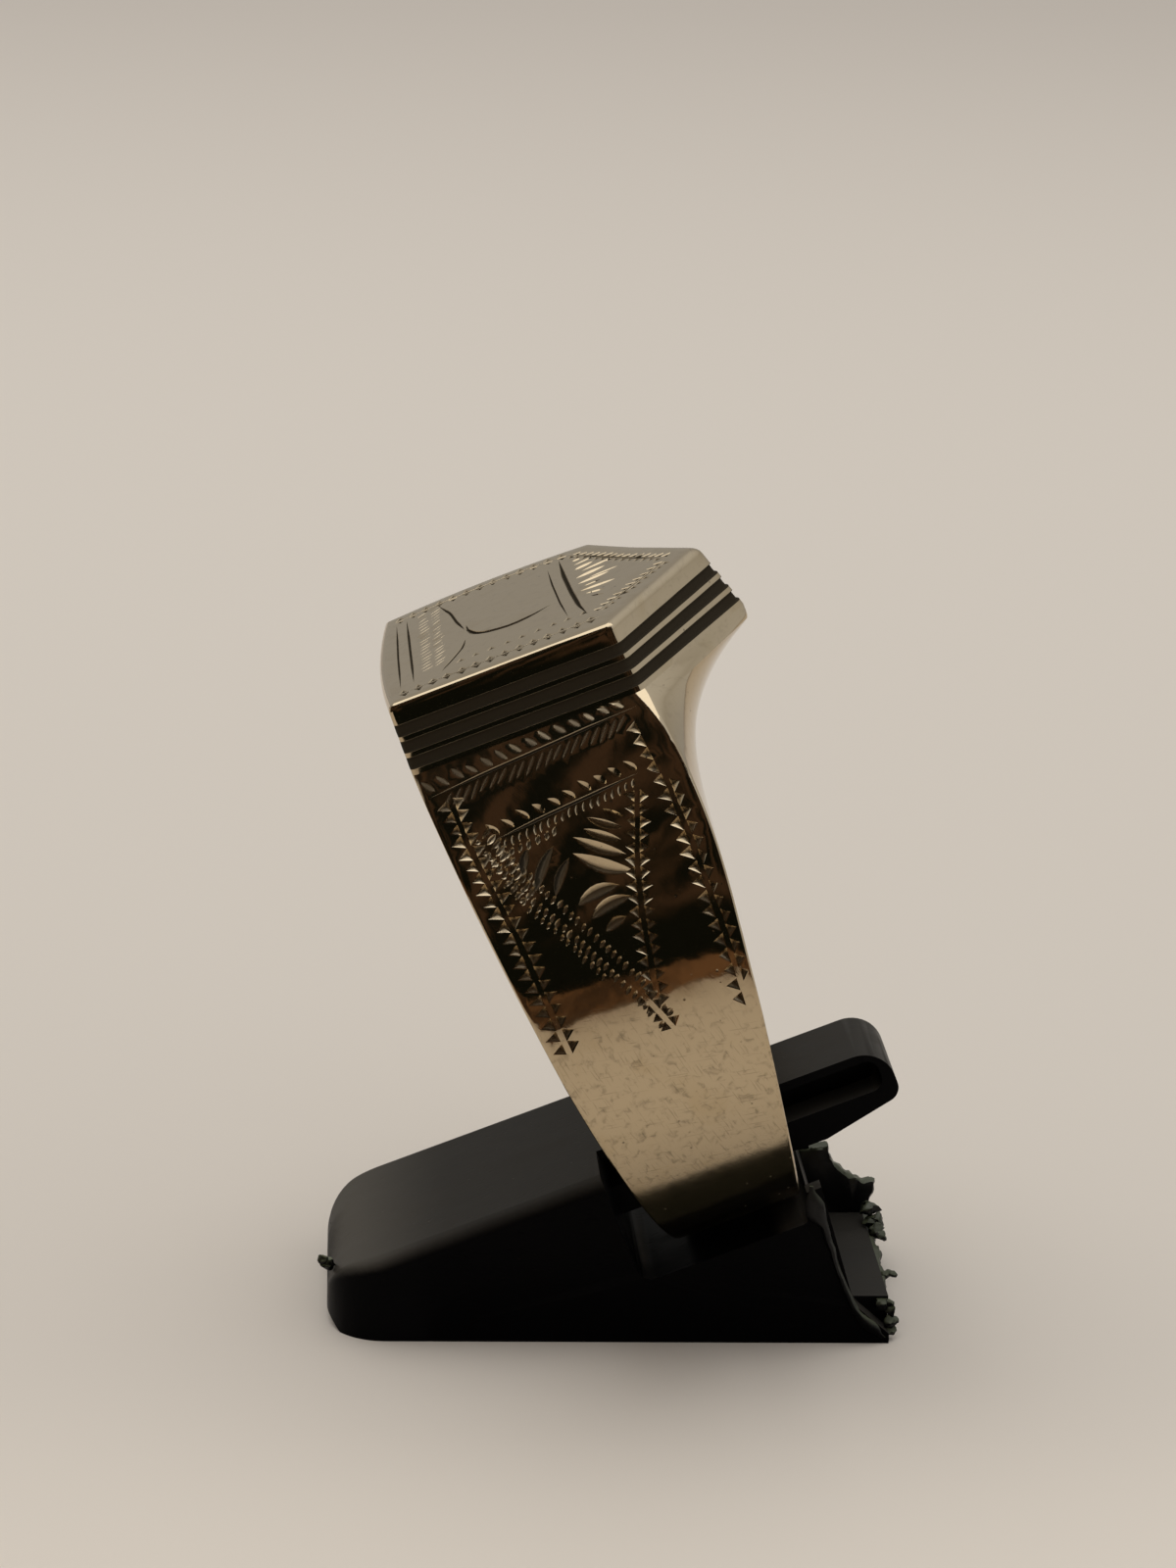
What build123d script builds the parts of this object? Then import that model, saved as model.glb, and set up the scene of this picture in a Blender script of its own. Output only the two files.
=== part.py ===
from build123d import *
import os
from math import atan2, cos, hypot, radians, sin, sqrt, tan

# A heavy signet ring with a five-sided, shield-shaped head, held upright and
# leaning back in a small moulded clip stand.
#
# The ring is drawn in a frame of its own: x runs along the finger, y across it and
# z up towards the face, with the finger hole's centre at the origin. The same frame,
# leaning by the stand's tilt, places the notch and the tongue that hold the ring.
# The finished part stands on z = 0 with the middle of its outline over the origin.

# Ring, in millimetres
bore_diameter = 19.0
shank_wall = 1.3
shank_bottom_width = 4.7
shank_middle_width = 7.6
face_height = 14.3
face_width = 12.0
face_side_length = 8.6
face_point_length = 3.97
face_offset = 0.76
face_back_bow = 0.28
face_corner_radius = 0.45
face_edge_bevel = 0.22

# Head wall, from the face down to the shoulders
head_wall_height = 2.7
side_flare = 0.2
back_flare = 0.05
point_flare = 0.9
plain_band = 0.79
groove_width = 0.4
groove_land = 0.235
groove_depth = 0.07
groove_count = 3

# Swept facet under the head's point, down to the side of the shank. The point's own wall
# runs on below the rest of the head's wall, and its keel then turns in sharply.
facet_length = 8.1
facet_curve = 2.7
keel_drop = 0.55
keel_curve = 4.2
facet_sections = 8

# Clip stand
stand_tilt = 22.2
stand_width = 9.7
notch_floor_height = 4.1
notch_depth = 4.6
notch_front_gap = 2.0
notch_back_gap = 0.4
notch_corner_radius = 0.6
hook_height = 1.2
hook_thickness = 0.6
nose_reach = 11.9
nose_foot_setback = 0.5
nose_tip_height = 0.5
nose_top_radius = 2.0
nose_corner_radius = 2.2
heel_reach = 9.7
heel_step = 1.4
heel_sweep_height = 1.6
heel_sweep_radius = 1.1
heel_edge_height = 0.4
stand_edge_radius = 0.6
cheek_wall = 0.75
base_thickness = 1.65
notch_plate = 0.8
hollow_low_end = 0.3

# Tongue of the stand, which passes through the finger hole, with a recess in each side
tongue_width = 4.1
tongue_reach = 7.45
tongue_top_plate = 0.35
tongue_bottom_plate = 1.2
tongue_web = 1.1
tongue_tip_wall = 0.5
tongue_tip_top_radius = 1.3
tongue_tip_low_radius = 0.6
tongue_tip_rise = 0.7
tongue_tip_slope = 3.3
tongue_root = 0.9
recess_end_radius = 0.5

# Clearances between the ring and the stand
seat_clearance = 0.1
tongue_clearance = 0.15

# What follows from the sizes above
bore_radius = bore_diameter / 2
outer_radius = bore_radius + shank_wall
wall_bottom = face_height - head_wall_height
shoulder_half_width = face_width / 2 + side_flare
head_back = -face_offset - face_side_length / 2
head_front = -face_offset + face_side_length / 2
shank_top_half_width = back_flare - head_back
facet_bottom = wall_bottom - facet_length
keel_reach = head_front + face_point_length + point_flare
beyond = 2 * (outer_radius + face_height)

notch_floor = -outer_radius - seat_clearance
notch_top = notch_floor + notch_depth
notch_front = -shank_bottom_width / 2 - notch_front_gap
notch_back = shank_bottom_width / 2 + notch_back_gap
tongue_bottom = tongue_clearance - sqrt(bore_radius**2 - (tongue_width / 2) ** 2)
ring_centre_height = notch_floor_height - notch_floor * cos(radians(stand_tilt))


def shank_half_width(z):
    """Half the ring's width along the finger at height z, from two straight tapers."""
    share = z / (wall_bottom if z > 0 else outer_radius)
    middle = shank_middle_width / 2
    if z > 0:
        return middle + (shank_top_half_width - middle) * share
    return middle + (middle - shank_bottom_width / 2) * share


def shoulder_arc_radius():
    """Radius of the shoulder arc that leaves the shank upright and ends under the head."""
    inset = outer_radius - shoulder_half_width
    return (inset**2 + wall_bottom**2) / (2 * inset)


def shoulder_y(z):
    """Distance of the shoulder from the ring's middle plane at height z above the finger axis."""
    radius = shoulder_arc_radius()
    return outer_radius - radius + sqrt(radius**2 - z**2)


def side_outline():
    """The ring's outline seen along the finger: a half circle below and two shoulder arcs above."""
    radius = shoulder_arc_radius()
    arc_centre = outer_radius - radius
    half_angle = atan2(wall_bottom, shoulder_half_width - arc_centre) / 2
    mid_y = arc_centre + radius * cos(half_angle)
    mid_z = radius * sin(half_angle)
    with BuildSketch(Plane.YZ) as outline:
        with BuildLine():
            ThreePointArc((-outer_radius, 0), (0, -outer_radius), (outer_radius, 0))
            ThreePointArc((outer_radius, 0), (mid_y, mid_z), (shoulder_half_width, wall_bottom))
            Line((shoulder_half_width, wall_bottom), (-shoulder_half_width, wall_bottom))
            ThreePointArc((-shoulder_half_width, wall_bottom), (-mid_y, mid_z), (-outer_radius, 0))
        make_face()
    return outline.sketch


def lower_shank():
    """The tapering band below the swept facet, before its side outline is cut."""
    low = -outer_radius - seat_clearance
    heights = (low, 0, facet_bottom)
    right = [(shank_half_width(z), z) for z in heights]
    left = [(-x, z) for x, z in reversed(right)]
    with BuildSketch(Plane.XZ) as front:
        with BuildLine():
            Polyline(*right, *left, close=True)
        make_face()
    return extrude(front.sketch, amount=beyond / 2, both=True)


def facet_section(z):
    """Level section of the upper body, a pentagon whose point grows out towards the head's point."""
    swept = ((z - facet_bottom) / facet_length) ** facet_curve
    keel_swept = min(1, (z - facet_bottom) / (facet_length - keel_drop)) ** keel_curve
    side = shank_half_width(z)
    panel_edge = side - swept * (shank_half_width(wall_bottom) - head_front - side_flare)
    point = side + keel_swept * (keel_reach - side)
    reach = beyond / 4
    corner = point + (panel_edge - point) * reach / shoulder_y(z)
    points = [(-side, -reach), (corner, -reach), (point, 0), (corner, reach), (-side, reach)]
    with BuildSketch(Plane.XY.offset(z)) as section:
        with BuildLine():
            Polyline(*points, close=True)
        make_face()
    return section.sketch


def upper_body():
    """The shoulders and the concave facet under the point, before the side outline is cut."""
    keel_top = wall_bottom - keel_drop
    step = (keel_top - facet_bottom) / (facet_sections - 1)
    swept_part = loft([facet_section(facet_bottom + step * i).face() for i in range(facet_sections)])
    upright_part = loft([facet_section(keel_top).face(), facet_section(wall_bottom).face()])
    return swept_part + upright_part


def head_outline(height, inset=0.0):
    """The shield outline of the head's wall at a height, moved inwards by inset."""
    drop = (face_height - height) / head_wall_height
    half_width = face_width / 2 + side_flare * drop - inset
    back = head_back - back_flare * drop + inset
    front = head_front + side_flare * drop
    point = front + face_point_length + (point_flare - side_flare) * drop
    slant = hypot(point - front, half_width + inset)
    point_inset = inset * slant / (half_width + inset)
    front_inset = inset * (slant - (point - front)) / (half_width + inset)
    points = [
        (back, -half_width),
        (front - front_inset, -half_width),
        (point - point_inset, 0),
        (front - front_inset, half_width),
        (back, half_width),
    ]
    with BuildSketch(Plane.XY.offset(height)) as outline:
        with BuildLine():
            Polyline(*points)
            ThreePointArc(points[-1], (back - face_back_bow, 0), points[0])
        make_face()
        fillet(outline.vertices(), radius=max(face_corner_radius - inset, face_corner_radius / 3))
    return outline.sketch


def groove(index):
    """A shallow channel that runs round the head's wall, as the solid that is cut away."""
    top = face_height - plain_band - index * (groove_width + groove_land)
    bottom = top - groove_width
    outside = extrude(offset(head_outline(bottom), amount=groove_depth * 4), amount=groove_width)
    inside = loft([head_outline(bottom, groove_depth).face(), head_outline(top, groove_depth).face()])
    return outside - inside


def head():
    """The shield-shaped head with its bevelled face and the channels round its wall."""
    block = loft([head_outline(wall_bottom).face(), head_outline(face_height).face()])
    block = chamfer(block.faces().sort_by(Axis.Z)[-1].edges(), length=face_edge_bevel)
    for index in range(groove_count):
        block -= groove(index)
    return block


def signet_ring():
    """The whole ring, one solid of metal, in its own frame."""
    side_block = extrude(side_outline(), amount=beyond / 2, both=True)
    body = (lower_shank() + upper_body()) & side_block
    body = body + head()
    return body - Cylinder(bore_radius, beyond, rotation=(0, 90, 0))


def leaning(x, z):
    """Point of the standing part for a point of the ring's frame, seen from the side."""
    angle = radians(stand_tilt)
    return (x * cos(angle) - z * sin(angle), ring_centre_height + x * sin(angle) + z * cos(angle))


def top_plane_height(x):
    """Height of the stand's sloping top above the base, at a distance x from the ring's centre."""
    at_x, at_z = leaning(0, notch_top)
    return at_z + (x - at_x) * tan(radians(stand_tilt))


def stand_side(points, half_width):
    """A closed outline seen from the side, made as thick as the stand or a part of it."""
    with BuildSketch(Plane.XZ) as outline:
        with BuildLine():
            Polyline(*points, close=True)
        make_face()
    return extrude(outline.sketch, amount=half_width, both=True)


def level_edges(shape, places, tolerance=0.01):
    """The edges that run straight across the stand at the given places of its side view."""
    found = []
    for edge in shape.edges().filter_by(Axis.Y):
        middle = edge.center()
        if any(hypot(middle.X - x, middle.Z - z) < tolerance for x, z in places):
            found.append(edge)
    return found


def stand_body():
    """The wedge with its nose, notch and hooks, still solid inside."""
    nose_high = (-nose_reach, top_plane_height(-nose_reach))
    hook_top = notch_floor + hook_height
    notch_corner = leaning(notch_front, notch_floor)
    hook_corner = leaning(notch_back, notch_floor)
    hook_tip = leaning(notch_back + hook_thickness, hook_top)
    heel_corner = (heel_reach - heel_step, heel_sweep_height)
    points = [
        (heel_reach, 0),
        (nose_foot_setback - nose_reach, 0),
        (-nose_reach, nose_tip_height),
        nose_high,
        leaning(notch_front, notch_top),
        notch_corner,
        hook_corner,
        leaning(notch_back, hook_top),
        hook_tip,
        heel_corner,
        (heel_reach, heel_edge_height),
    ]
    body = stand_side(points, stand_width / 2)
    body = fillet(level_edges(body, [notch_corner, hook_corner]), radius=notch_corner_radius)
    body = fillet(level_edges(body, [heel_corner]), radius=heel_sweep_radius)
    body = fillet(level_edges(body, [nose_high]), radius=nose_top_radius)
    body &= stand_plan()
    return fillet(top_rim(body), radius=stand_edge_radius)


def stand_plan():
    """A tall block of the stand's outline seen from above, with rounded corners at the nose."""
    with BuildSketch() as plan:
        with Locations(((heel_reach - nose_reach) / 2, 0)):
            Rectangle(heel_reach + nose_reach, stand_width)
        fillet(plan.vertices().group_by(Axis.X)[0], radius=nose_corner_radius)
    return extrude(plan.sketch, amount=ring_centre_height)


def top_rim(body):
    """The edges where the stand's sides meet its sloping top and the round of its nose."""
    top_end = leaning(notch_front, notch_top)[0]
    found = []
    for edge in body.edges():
        middle = edge @ 0.5
        ahead = middle.X < top_end - 0.01 and middle.Z > nose_tip_height + 0.01
        across = edge.geom_type == GeomType.LINE and abs((edge @ 0).Y - (edge @ 1).Y) > 0.01
        upright = edge.geom_type == GeomType.LINE and abs((edge @ 0).X - (edge @ 1).X) < 0.01
        if ahead and not across and not upright:
            found.append(edge)
    return found


def stand_hollow():
    """The space under the notch, between the two cheeks and open at the back."""
    under = notch_floor - notch_plate
    back_low = leaning(notch_back, under)
    back_high = leaning(notch_back, notch_floor + hook_height * 2)
    low_end = base_thickness + hollow_low_end
    low_x = back_low[0] - (back_low[1] - low_end) / tan(radians(stand_tilt))
    points = [
        (low_x, base_thickness),
        (heel_reach * 2, base_thickness),
        (heel_reach * 2, back_high[1]),
        back_high,
        back_low,
        (low_x, low_end),
    ]
    return stand_side(points, stand_width / 2 - cheek_wall)


def floor_plate():
    """The floor between the cheeks, which ends upright where the cheeks sweep out to the heel."""
    inner_end = heel_reach - 2 * heel_step
    points = [(inner_end, 0), (heel_reach, 0), (heel_reach, base_thickness), (inner_end, base_thickness)]
    return stand_side(points, stand_width / 2 - cheek_wall)


def tongue():
    """The beak that passes through the ring, thin on top, with a long recess in each side."""
    root = notch_front - tongue_root
    tip_low = (tongue_reach, tongue_bottom + tongue_tip_rise)
    tip_high = (tongue_reach, notch_top)
    outline = [
        (root, notch_top),
        tip_high,
        tip_low,
        (tongue_reach - tongue_tip_slope, tongue_bottom),
        (root, tongue_bottom),
    ]
    high = notch_top - tongue_top_plate
    low = tongue_bottom + tongue_bottom_plate
    end = tongue_reach - tongue_tip_wall
    recess = [leaning(*point) for point in ((notch_front, high), (end, high), (end, low), (notch_front, low))]
    beak = stand_side([leaning(*point) for point in outline], tongue_width / 2)
    beak = fillet(level_edges(beak, [leaning(*tip_high)]), radius=tongue_tip_top_radius)
    beak = fillet(level_edges(beak, [leaning(*tip_low)]), radius=tongue_tip_low_radius)
    hollow = fillet(level_edges(stand_side(recess, tongue_width), recess[1:3]), radius=recess_end_radius)
    return beak - (hollow - stand_side(recess, tongue_web / 2))


def ring_stand():
    """The moulded stand, one solid of plastic, with the ring's centre above the origin."""
    return stand_body() - stand_hollow() + floor_plate() + tongue()


def placed_ring():
    """The ring leaning back in the stand's notch."""
    return Pos(0, 0, ring_centre_height) * Rot(0, -stand_tilt, 0) * signet_ring()


def centred(shapes):
    """The shapes moved so that the middle of their common outline stands over the origin."""
    boxes = [shape.bounding_box() for shape in shapes.values()]
    low = [min(tuple(box.min)[axis] for box in boxes) for axis in range(3)]
    high = [max(tuple(box.max)[axis] for box in boxes) for axis in range(3)]
    shift = Pos(-(low[0] + high[0]) / 2, -(low[1] + high[1]) / 2, -low[2])
    return {name: shift * shape for name, shape in shapes.items()}


os.makedirs("parts", exist_ok=True)
nodes = centred({"signet_ring": placed_ring(), "ring_stand": ring_stand()})
for name, shape in nodes.items():
    shape.label = name
    export_step(shape, f"parts/{name}.step")
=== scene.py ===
"""Dresses an engraved signet ring and the black display clip that holds it.

The ring is drawn in a frame of its own, in millimetres: x runs along the finger, y across it
and z up towards the face, with the finger hole's centre at the origin. Its shoulders are
engraved on their developed surface, where a place is x and the distance s down the outline.
"""
import logging
import math
import random
from dataclasses import dataclass, field, fields
from enum import Enum
from typing import Callable, Iterable, Sequence

import bmesh
import bpy
import numpy as np
from mathutils import Matrix, Vector, noise
from mathutils.geometry import delaunay_2d_cdt


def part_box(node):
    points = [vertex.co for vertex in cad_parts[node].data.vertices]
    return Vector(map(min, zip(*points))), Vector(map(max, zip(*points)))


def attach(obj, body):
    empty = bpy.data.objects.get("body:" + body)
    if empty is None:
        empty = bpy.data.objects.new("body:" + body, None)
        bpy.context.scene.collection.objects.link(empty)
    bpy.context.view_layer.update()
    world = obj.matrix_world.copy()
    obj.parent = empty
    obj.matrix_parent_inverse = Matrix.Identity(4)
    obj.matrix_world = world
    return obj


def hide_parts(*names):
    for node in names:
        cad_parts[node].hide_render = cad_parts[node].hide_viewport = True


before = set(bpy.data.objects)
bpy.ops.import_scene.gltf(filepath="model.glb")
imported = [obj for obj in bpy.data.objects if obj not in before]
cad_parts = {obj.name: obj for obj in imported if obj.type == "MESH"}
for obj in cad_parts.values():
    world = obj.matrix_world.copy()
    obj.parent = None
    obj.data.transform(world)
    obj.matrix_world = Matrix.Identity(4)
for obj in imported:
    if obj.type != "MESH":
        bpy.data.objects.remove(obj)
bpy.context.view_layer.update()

MM = 0.001
BODY = "root"
LOG = logging.getLogger("ring")

Point = tuple[float, float]
Colour = tuple[float, float, float]
Sockets = dict[str, bpy.types.NodeSocket]


# Sizes and main surfaces of the ring


@dataclass(frozen=True)
class RingSizes:
    """Driving sizes of the ring, in millimetres, as the solid has them."""

    bore_radius: float = 9.5
    outer_radius: float = 10.8
    shank_bottom_width: float = 4.7
    shank_middle_width: float = 7.6
    face_height: float = 14.3
    face_width: float = 12.0
    face_side_length: float = 8.6
    face_point_length: float = 3.97
    face_offset: float = 0.76
    face_back_bow: float = 0.28
    head_wall_height: float = 2.7
    side_flare: float = 0.2
    back_flare: float = 0.05
    point_flare: float = 0.9
    plain_band: float = 0.79
    groove_width: float = 0.4
    groove_land: float = 0.235
    groove_depth: float = 0.07
    groove_count: int = 3
    facet_length: float = 8.1
    facet_curve: float = 2.7
    keel_drop: float = 0.55
    keel_curve: float = 4.2
    far_crown: float = 0.17
    corner_inset: float = 0.26
    keel_round: float = 0.3
    edge_round: float = 0.12
    bore_round: float = 0.16
    face_bevel: float = 0.3


@dataclass(frozen=True)
class RingSeat:
    """Where the clip holds the ring, in millimetres and degrees."""

    tilt: float = 22.2
    notch_floor_height: float = 4.1
    seat_clearance: float = 0.1
    nose_reach: float = 11.9
    outer_radius: float = 10.8

    def centre(self) -> Vector:
        """The ring's centre, in metres, read from the clip's box."""
        low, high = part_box("ring_stand")
        lift = (self.outer_radius + self.seat_clearance) * math.cos(math.radians(self.tilt))
        height = self.notch_floor_height + lift
        return Vector((low.x + self.nose_reach * MM, (low.y + high.y) / 2, height * MM))

    def matrix(self) -> Matrix:
        """The step from the ring's own frame in millimetres to the standing part in metres."""
        turn = Matrix.Rotation(-math.radians(self.tilt), 4, "Y")
        return Matrix.Translation(self.centre()) @ turn @ Matrix.Scale(MM, 4)


def bent(start: np.ndarray, bend: np.ndarray, end: np.ndarray, segments: int) -> np.ndarray:
    """Rounds a corner between pairs of points.

    Args:
        start: First points, one row each.
        bend: The corner that each curve rounds.
        end: Last points.
        segments: Number of steps along each curve.

    Returns:
        The curves' points, indexed by row, step and axis.
    """
    share = np.linspace(0.0, 1.0, segments + 1)[None, :, None]
    first, second = (1 - share) ** 2, 2 * share * (1 - share)
    return first * start[:, None] + second * bend[:, None] + share**2 * end[:, None]


class RingForm:
    """The ring's surfaces, worked out from its sizes."""

    corner_segments = 4
    shoulder_step = 0.24
    shank_step = 0.42
    rim_samples = 49
    rim_crowding = 1.3
    side_samples = 27

    def __init__(self, sizes: RingSizes) -> None:
        """Works out the sizes that follow from the driving ones."""
        self.sizes = sizes
        self.wall_bottom = sizes.face_height - sizes.head_wall_height
        self.shoulder_half = sizes.face_width / 2 + sizes.side_flare
        self.head_back = -sizes.face_offset - sizes.face_side_length / 2
        self.head_front = -sizes.face_offset + sizes.face_side_length / 2
        self.top_half_width = sizes.back_flare - self.head_back
        self.facet_bottom = self.wall_bottom - sizes.facet_length
        self.keel_top = self.wall_bottom - sizes.keel_drop
        self.keel_reach = self.head_front + sizes.face_point_length + sizes.point_flare
        inset = sizes.outer_radius - self.shoulder_half
        self.arc_radius = (inset**2 + self.wall_bottom**2) / (2 * inset)
        self.arc_angle = math.asin(self.wall_bottom / self.arc_radius)
        self.shoulder_length = self.arc_radius * self.arc_angle
        self.length = 2 * self.shoulder_length + math.pi * sizes.outer_radius

    def half_width(self, z: np.ndarray) -> np.ndarray:
        """Half the shank's width along the finger at height z."""
        middle = self.sizes.shank_middle_width / 2
        above = (self.top_half_width - middle) * z / self.wall_bottom
        below = (middle - self.sizes.shank_bottom_width / 2) * z / self.sizes.outer_radius
        return middle + np.where(z > 0, above, below)

    def swept(self, z: np.ndarray) -> np.ndarray:
        """How far the facet under the head's point has swept out at height z, from 0 to 1."""
        share = np.clip((z - self.facet_bottom) / self.sizes.facet_length, 0.0, 1.0)
        return share**self.sizes.facet_curve

    def panel_edge(self, z: np.ndarray) -> np.ndarray:
        """The x of the shoulder panel's edge beside the facet."""
        shrink = self.top_half_width - self.head_front - self.sizes.side_flare
        return self.half_width(z) - self.swept(z) * shrink

    def keel(self, z: np.ndarray) -> np.ndarray:
        """The x of the facet's ridge, which runs upright for a little below the head's wall."""
        softness = 0.03
        share = np.clip((z - self.facet_bottom) / (self.keel_top - self.facet_bottom), 0.0, None)
        over = share**self.sizes.keel_curve - 1.0
        swept = 1.0 + (over - np.sqrt(over**2 + softness**2)) / 2
        side = self.half_width(z)
        return side + np.clip(swept, 0.0, 1.0) * (self.keel_reach - side)

    def face_rise(self, x: np.ndarray, y: np.ndarray) -> np.ndarray:
        """How far the face is crowned towards the far side."""
        half = self.sizes.face_width / 2
        middle, reach = 0.2, 4.9
        arch = np.clip(1 - ((x - middle) / reach) ** 2, 0, None)
        return self.sizes.far_crown * arch * np.clip((y + half) / (2 * half), 0, 1)

    def spread(self, y: np.ndarray) -> np.ndarray:
        """Distance from the middle plane, rounded where a ridge crosses it."""
        soft = self.sizes.keel_round
        return np.where(np.abs(y) < soft, (y**2 + soft**2) / (2 * soft), np.abs(y))

    def shoulder_y(self, z: np.ndarray) -> np.ndarray:
        """Distance of the shoulder from the middle plane at height z, above the finger's axis."""
        radius = self.arc_radius
        return self.sizes.outer_radius - radius + np.sqrt(radius**2 - np.clip(z, 0, None) ** 2)

    def right_x(self, y: np.ndarray, z: np.ndarray) -> np.ndarray:
        """The side under the head's point."""
        edge, keel = self.panel_edge(z), self.keel(z)
        return keel + (edge - keel) * self.spread(y) / self.shoulder_y(z)

    def left_x(self, y: np.ndarray, z: np.ndarray) -> np.ndarray:
        """The side under the head's straight back, which swells a little towards the head."""
        fade = np.clip(1 - (self.wall_bottom - z) / (self.wall_bottom - self.sizes.outer_radius), 0, 1)
        share = np.clip(y / (self.shoulder_half - self.sizes.corner_inset), -1, 1)
        return -self.half_width(z) - self.sizes.face_back_bow * (1 - share**2) * fade

    def outline(self, s: np.ndarray) -> tuple[np.ndarray, np.ndarray, np.ndarray, np.ndarray]:
        """The ring's outline seen along the finger.

        Args:
            s: Distances from the near shoulder's top, round the bottom, to the far one's top.

        Returns:
            The points' y and z, and the outward direction's y and z.
        """
        nearer = np.minimum(s, self.length - s)
        sign = np.where(s <= self.length / 2, -1.0, 1.0)
        on_shoulder = nearer < self.shoulder_length
        phi = self.arc_angle - nearer / self.arc_radius
        psi = -(nearer - self.shoulder_length) / self.sizes.outer_radius
        angle = np.where(on_shoulder, phi, psi)
        radius = np.where(on_shoulder, self.arc_radius, self.sizes.outer_radius)
        reach = self.sizes.outer_radius - radius + radius * np.cos(angle)
        return sign * reach, radius * np.sin(angle), sign * np.cos(angle), np.sin(angle)

    def stations(self) -> np.ndarray:
        """Distances at which the ring is sectioned, finer on the shoulders."""
        shoulder_count = round(self.shoulder_length / self.shoulder_step)
        shank = self.length / 2 - self.shoulder_length
        shank_count = round(shank / self.shank_step)
        shoulder = np.linspace(0, self.shoulder_length, shoulder_count + 1)
        lower = np.linspace(self.shoulder_length, self.length / 2, shank_count + 1)
        half = np.concatenate([shoulder, lower[1:]])
        return np.concatenate([half, self.length - half[-2::-1]])

    def softness(self, s: np.ndarray) -> np.ndarray:
        """How much an edge takes after the head's rounded corner, from 1 at its foot to 0."""
        fade_length = 1.6
        return np.clip(1 - np.minimum(s, self.length - s) / fade_length, 0, 1) ** 2

    def corner_reaches(self) -> tuple[float, float]:
        """Lengths along the panel's top that the back and front corners of the head take."""
        slope = (self.keel_reach - self.head_front - self.sizes.side_flare) / self.shoulder_half
        return self.sizes.corner_inset, self.sizes.corner_inset * math.hypot(1, slope)

    def edge_inset(self, s: np.ndarray, front: bool) -> np.ndarray:
        """How far the panel stops short of its edge, along x."""
        corner = self.corner_reaches()[1 if front else 0]
        return self.sizes.edge_round + (corner - self.sizes.edge_round) * self.softness(s)

    def inner_line(self, s: np.ndarray) -> tuple[np.ndarray, np.ndarray]:
        """The y and z where the rounded edge runs out on a side."""
        y, z, out_y, out_z = self.outline(s)
        soft = self.softness(s)
        inset = self.sizes.edge_round + (self.sizes.corner_inset - self.sizes.edge_round) * soft
        toward_y = -soft * np.sign(y) - (1 - soft) * out_y
        toward_z = -(1 - soft) * out_z
        length = np.hypot(toward_y, toward_z)
        return y + inset * toward_y / length, z + inset * toward_z / length

    def edge_strip(self, s: np.ndarray, front: bool) -> np.ndarray:
        """The rounded edge between the outer strip and a side.

        Args:
            s: Distances along the outline.
            front: True for the side under the head's point.

        Returns:
            Points indexed by station, step and axis.
        """
        y, z, _, _ = self.outline(s)
        edge = self.panel_edge(z) if front else self.left_x(y, z)
        inset = self.edge_inset(s, front) * (-1 if front else 1)
        inner_y, inner_z = self.inner_line(s)
        side = self.right_x if front else self.left_x
        start = np.column_stack([edge + inset, y, z])
        bend = np.column_stack([edge, y, z])
        end = np.column_stack([side(inner_y, inner_z), inner_y, inner_z])
        return bent(start, bend, end, self.corner_segments)

    def rim_shares(self) -> np.ndarray:
        """Shares of the head's half width at which its front and back are sampled."""
        steps = np.linspace(-1, 1, self.rim_samples)
        return np.sign(steps) * np.abs(steps) ** self.rim_crowding

    def head_loop(self, height: float, inset: float) -> np.ndarray:
        """The shield outline of the head, closed, at a height and moved inwards.

        Args:
            height: Height above the finger's axis.
            inset: Distance by which the wall is set in.

        Returns:
            Points in order from the near side's back end, the first one repeated at the end.
        """
        sizes = self.sizes
        drop = (sizes.face_height - height) / sizes.head_wall_height
        half = sizes.face_width / 2 + sizes.side_flare * drop
        back = self.head_back - sizes.back_flare * drop + inset
        front = self.head_front + sizes.side_flare * drop
        point = self.head_front + sizes.face_point_length + sizes.point_flare * drop
        slope = (point - front) / half
        lean = math.hypot(1, slope)
        half -= inset
        point -= inset * lean
        front = point - slope * half
        corner = max(sizes.corner_inset - inset, sizes.corner_inset / 3)
        runs = self.rim_shares() * (half - corner)
        front_run = np.column_stack([point - slope * self.spread(runs), runs])
        bow = sizes.face_back_bow * (1 - self.rim_shares() ** 2)
        back_run = np.column_stack([back - bow, runs])
        side_x = np.linspace(back + corner, front - corner * lean, self.side_samples)
        near = np.column_stack([side_x, np.full_like(side_x, -half)])
        far = near * (1, -1)

        def corner_of(first: np.ndarray, x: float, y: float, last: np.ndarray) -> np.ndarray:
            """The points of one rounded corner, without its ends."""
            return bent(first[None], np.array([[x, y]]), last[None], self.corner_segments)[0, 1:-1]

        loop = np.concatenate([
            near,
            corner_of(near[-1], front, -half, front_run[0]),
            front_run,
            corner_of(front_run[-1], front, half, far[-1]),
            far[::-1],
            corner_of(far[0], back, half, back_run[-1]),
            back_run[::-1],
            corner_of(back_run[0], back, -half, near[0]),
            near[:1],
        ])
        return np.column_stack([loop, np.full(len(loop), height)])


# Engraving


def cross(first: np.ndarray, second: np.ndarray) -> np.ndarray:
    """The cross product of vectors in a plane."""
    return first[..., 0] * second[..., 1] - first[..., 1] * second[..., 0]


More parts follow.
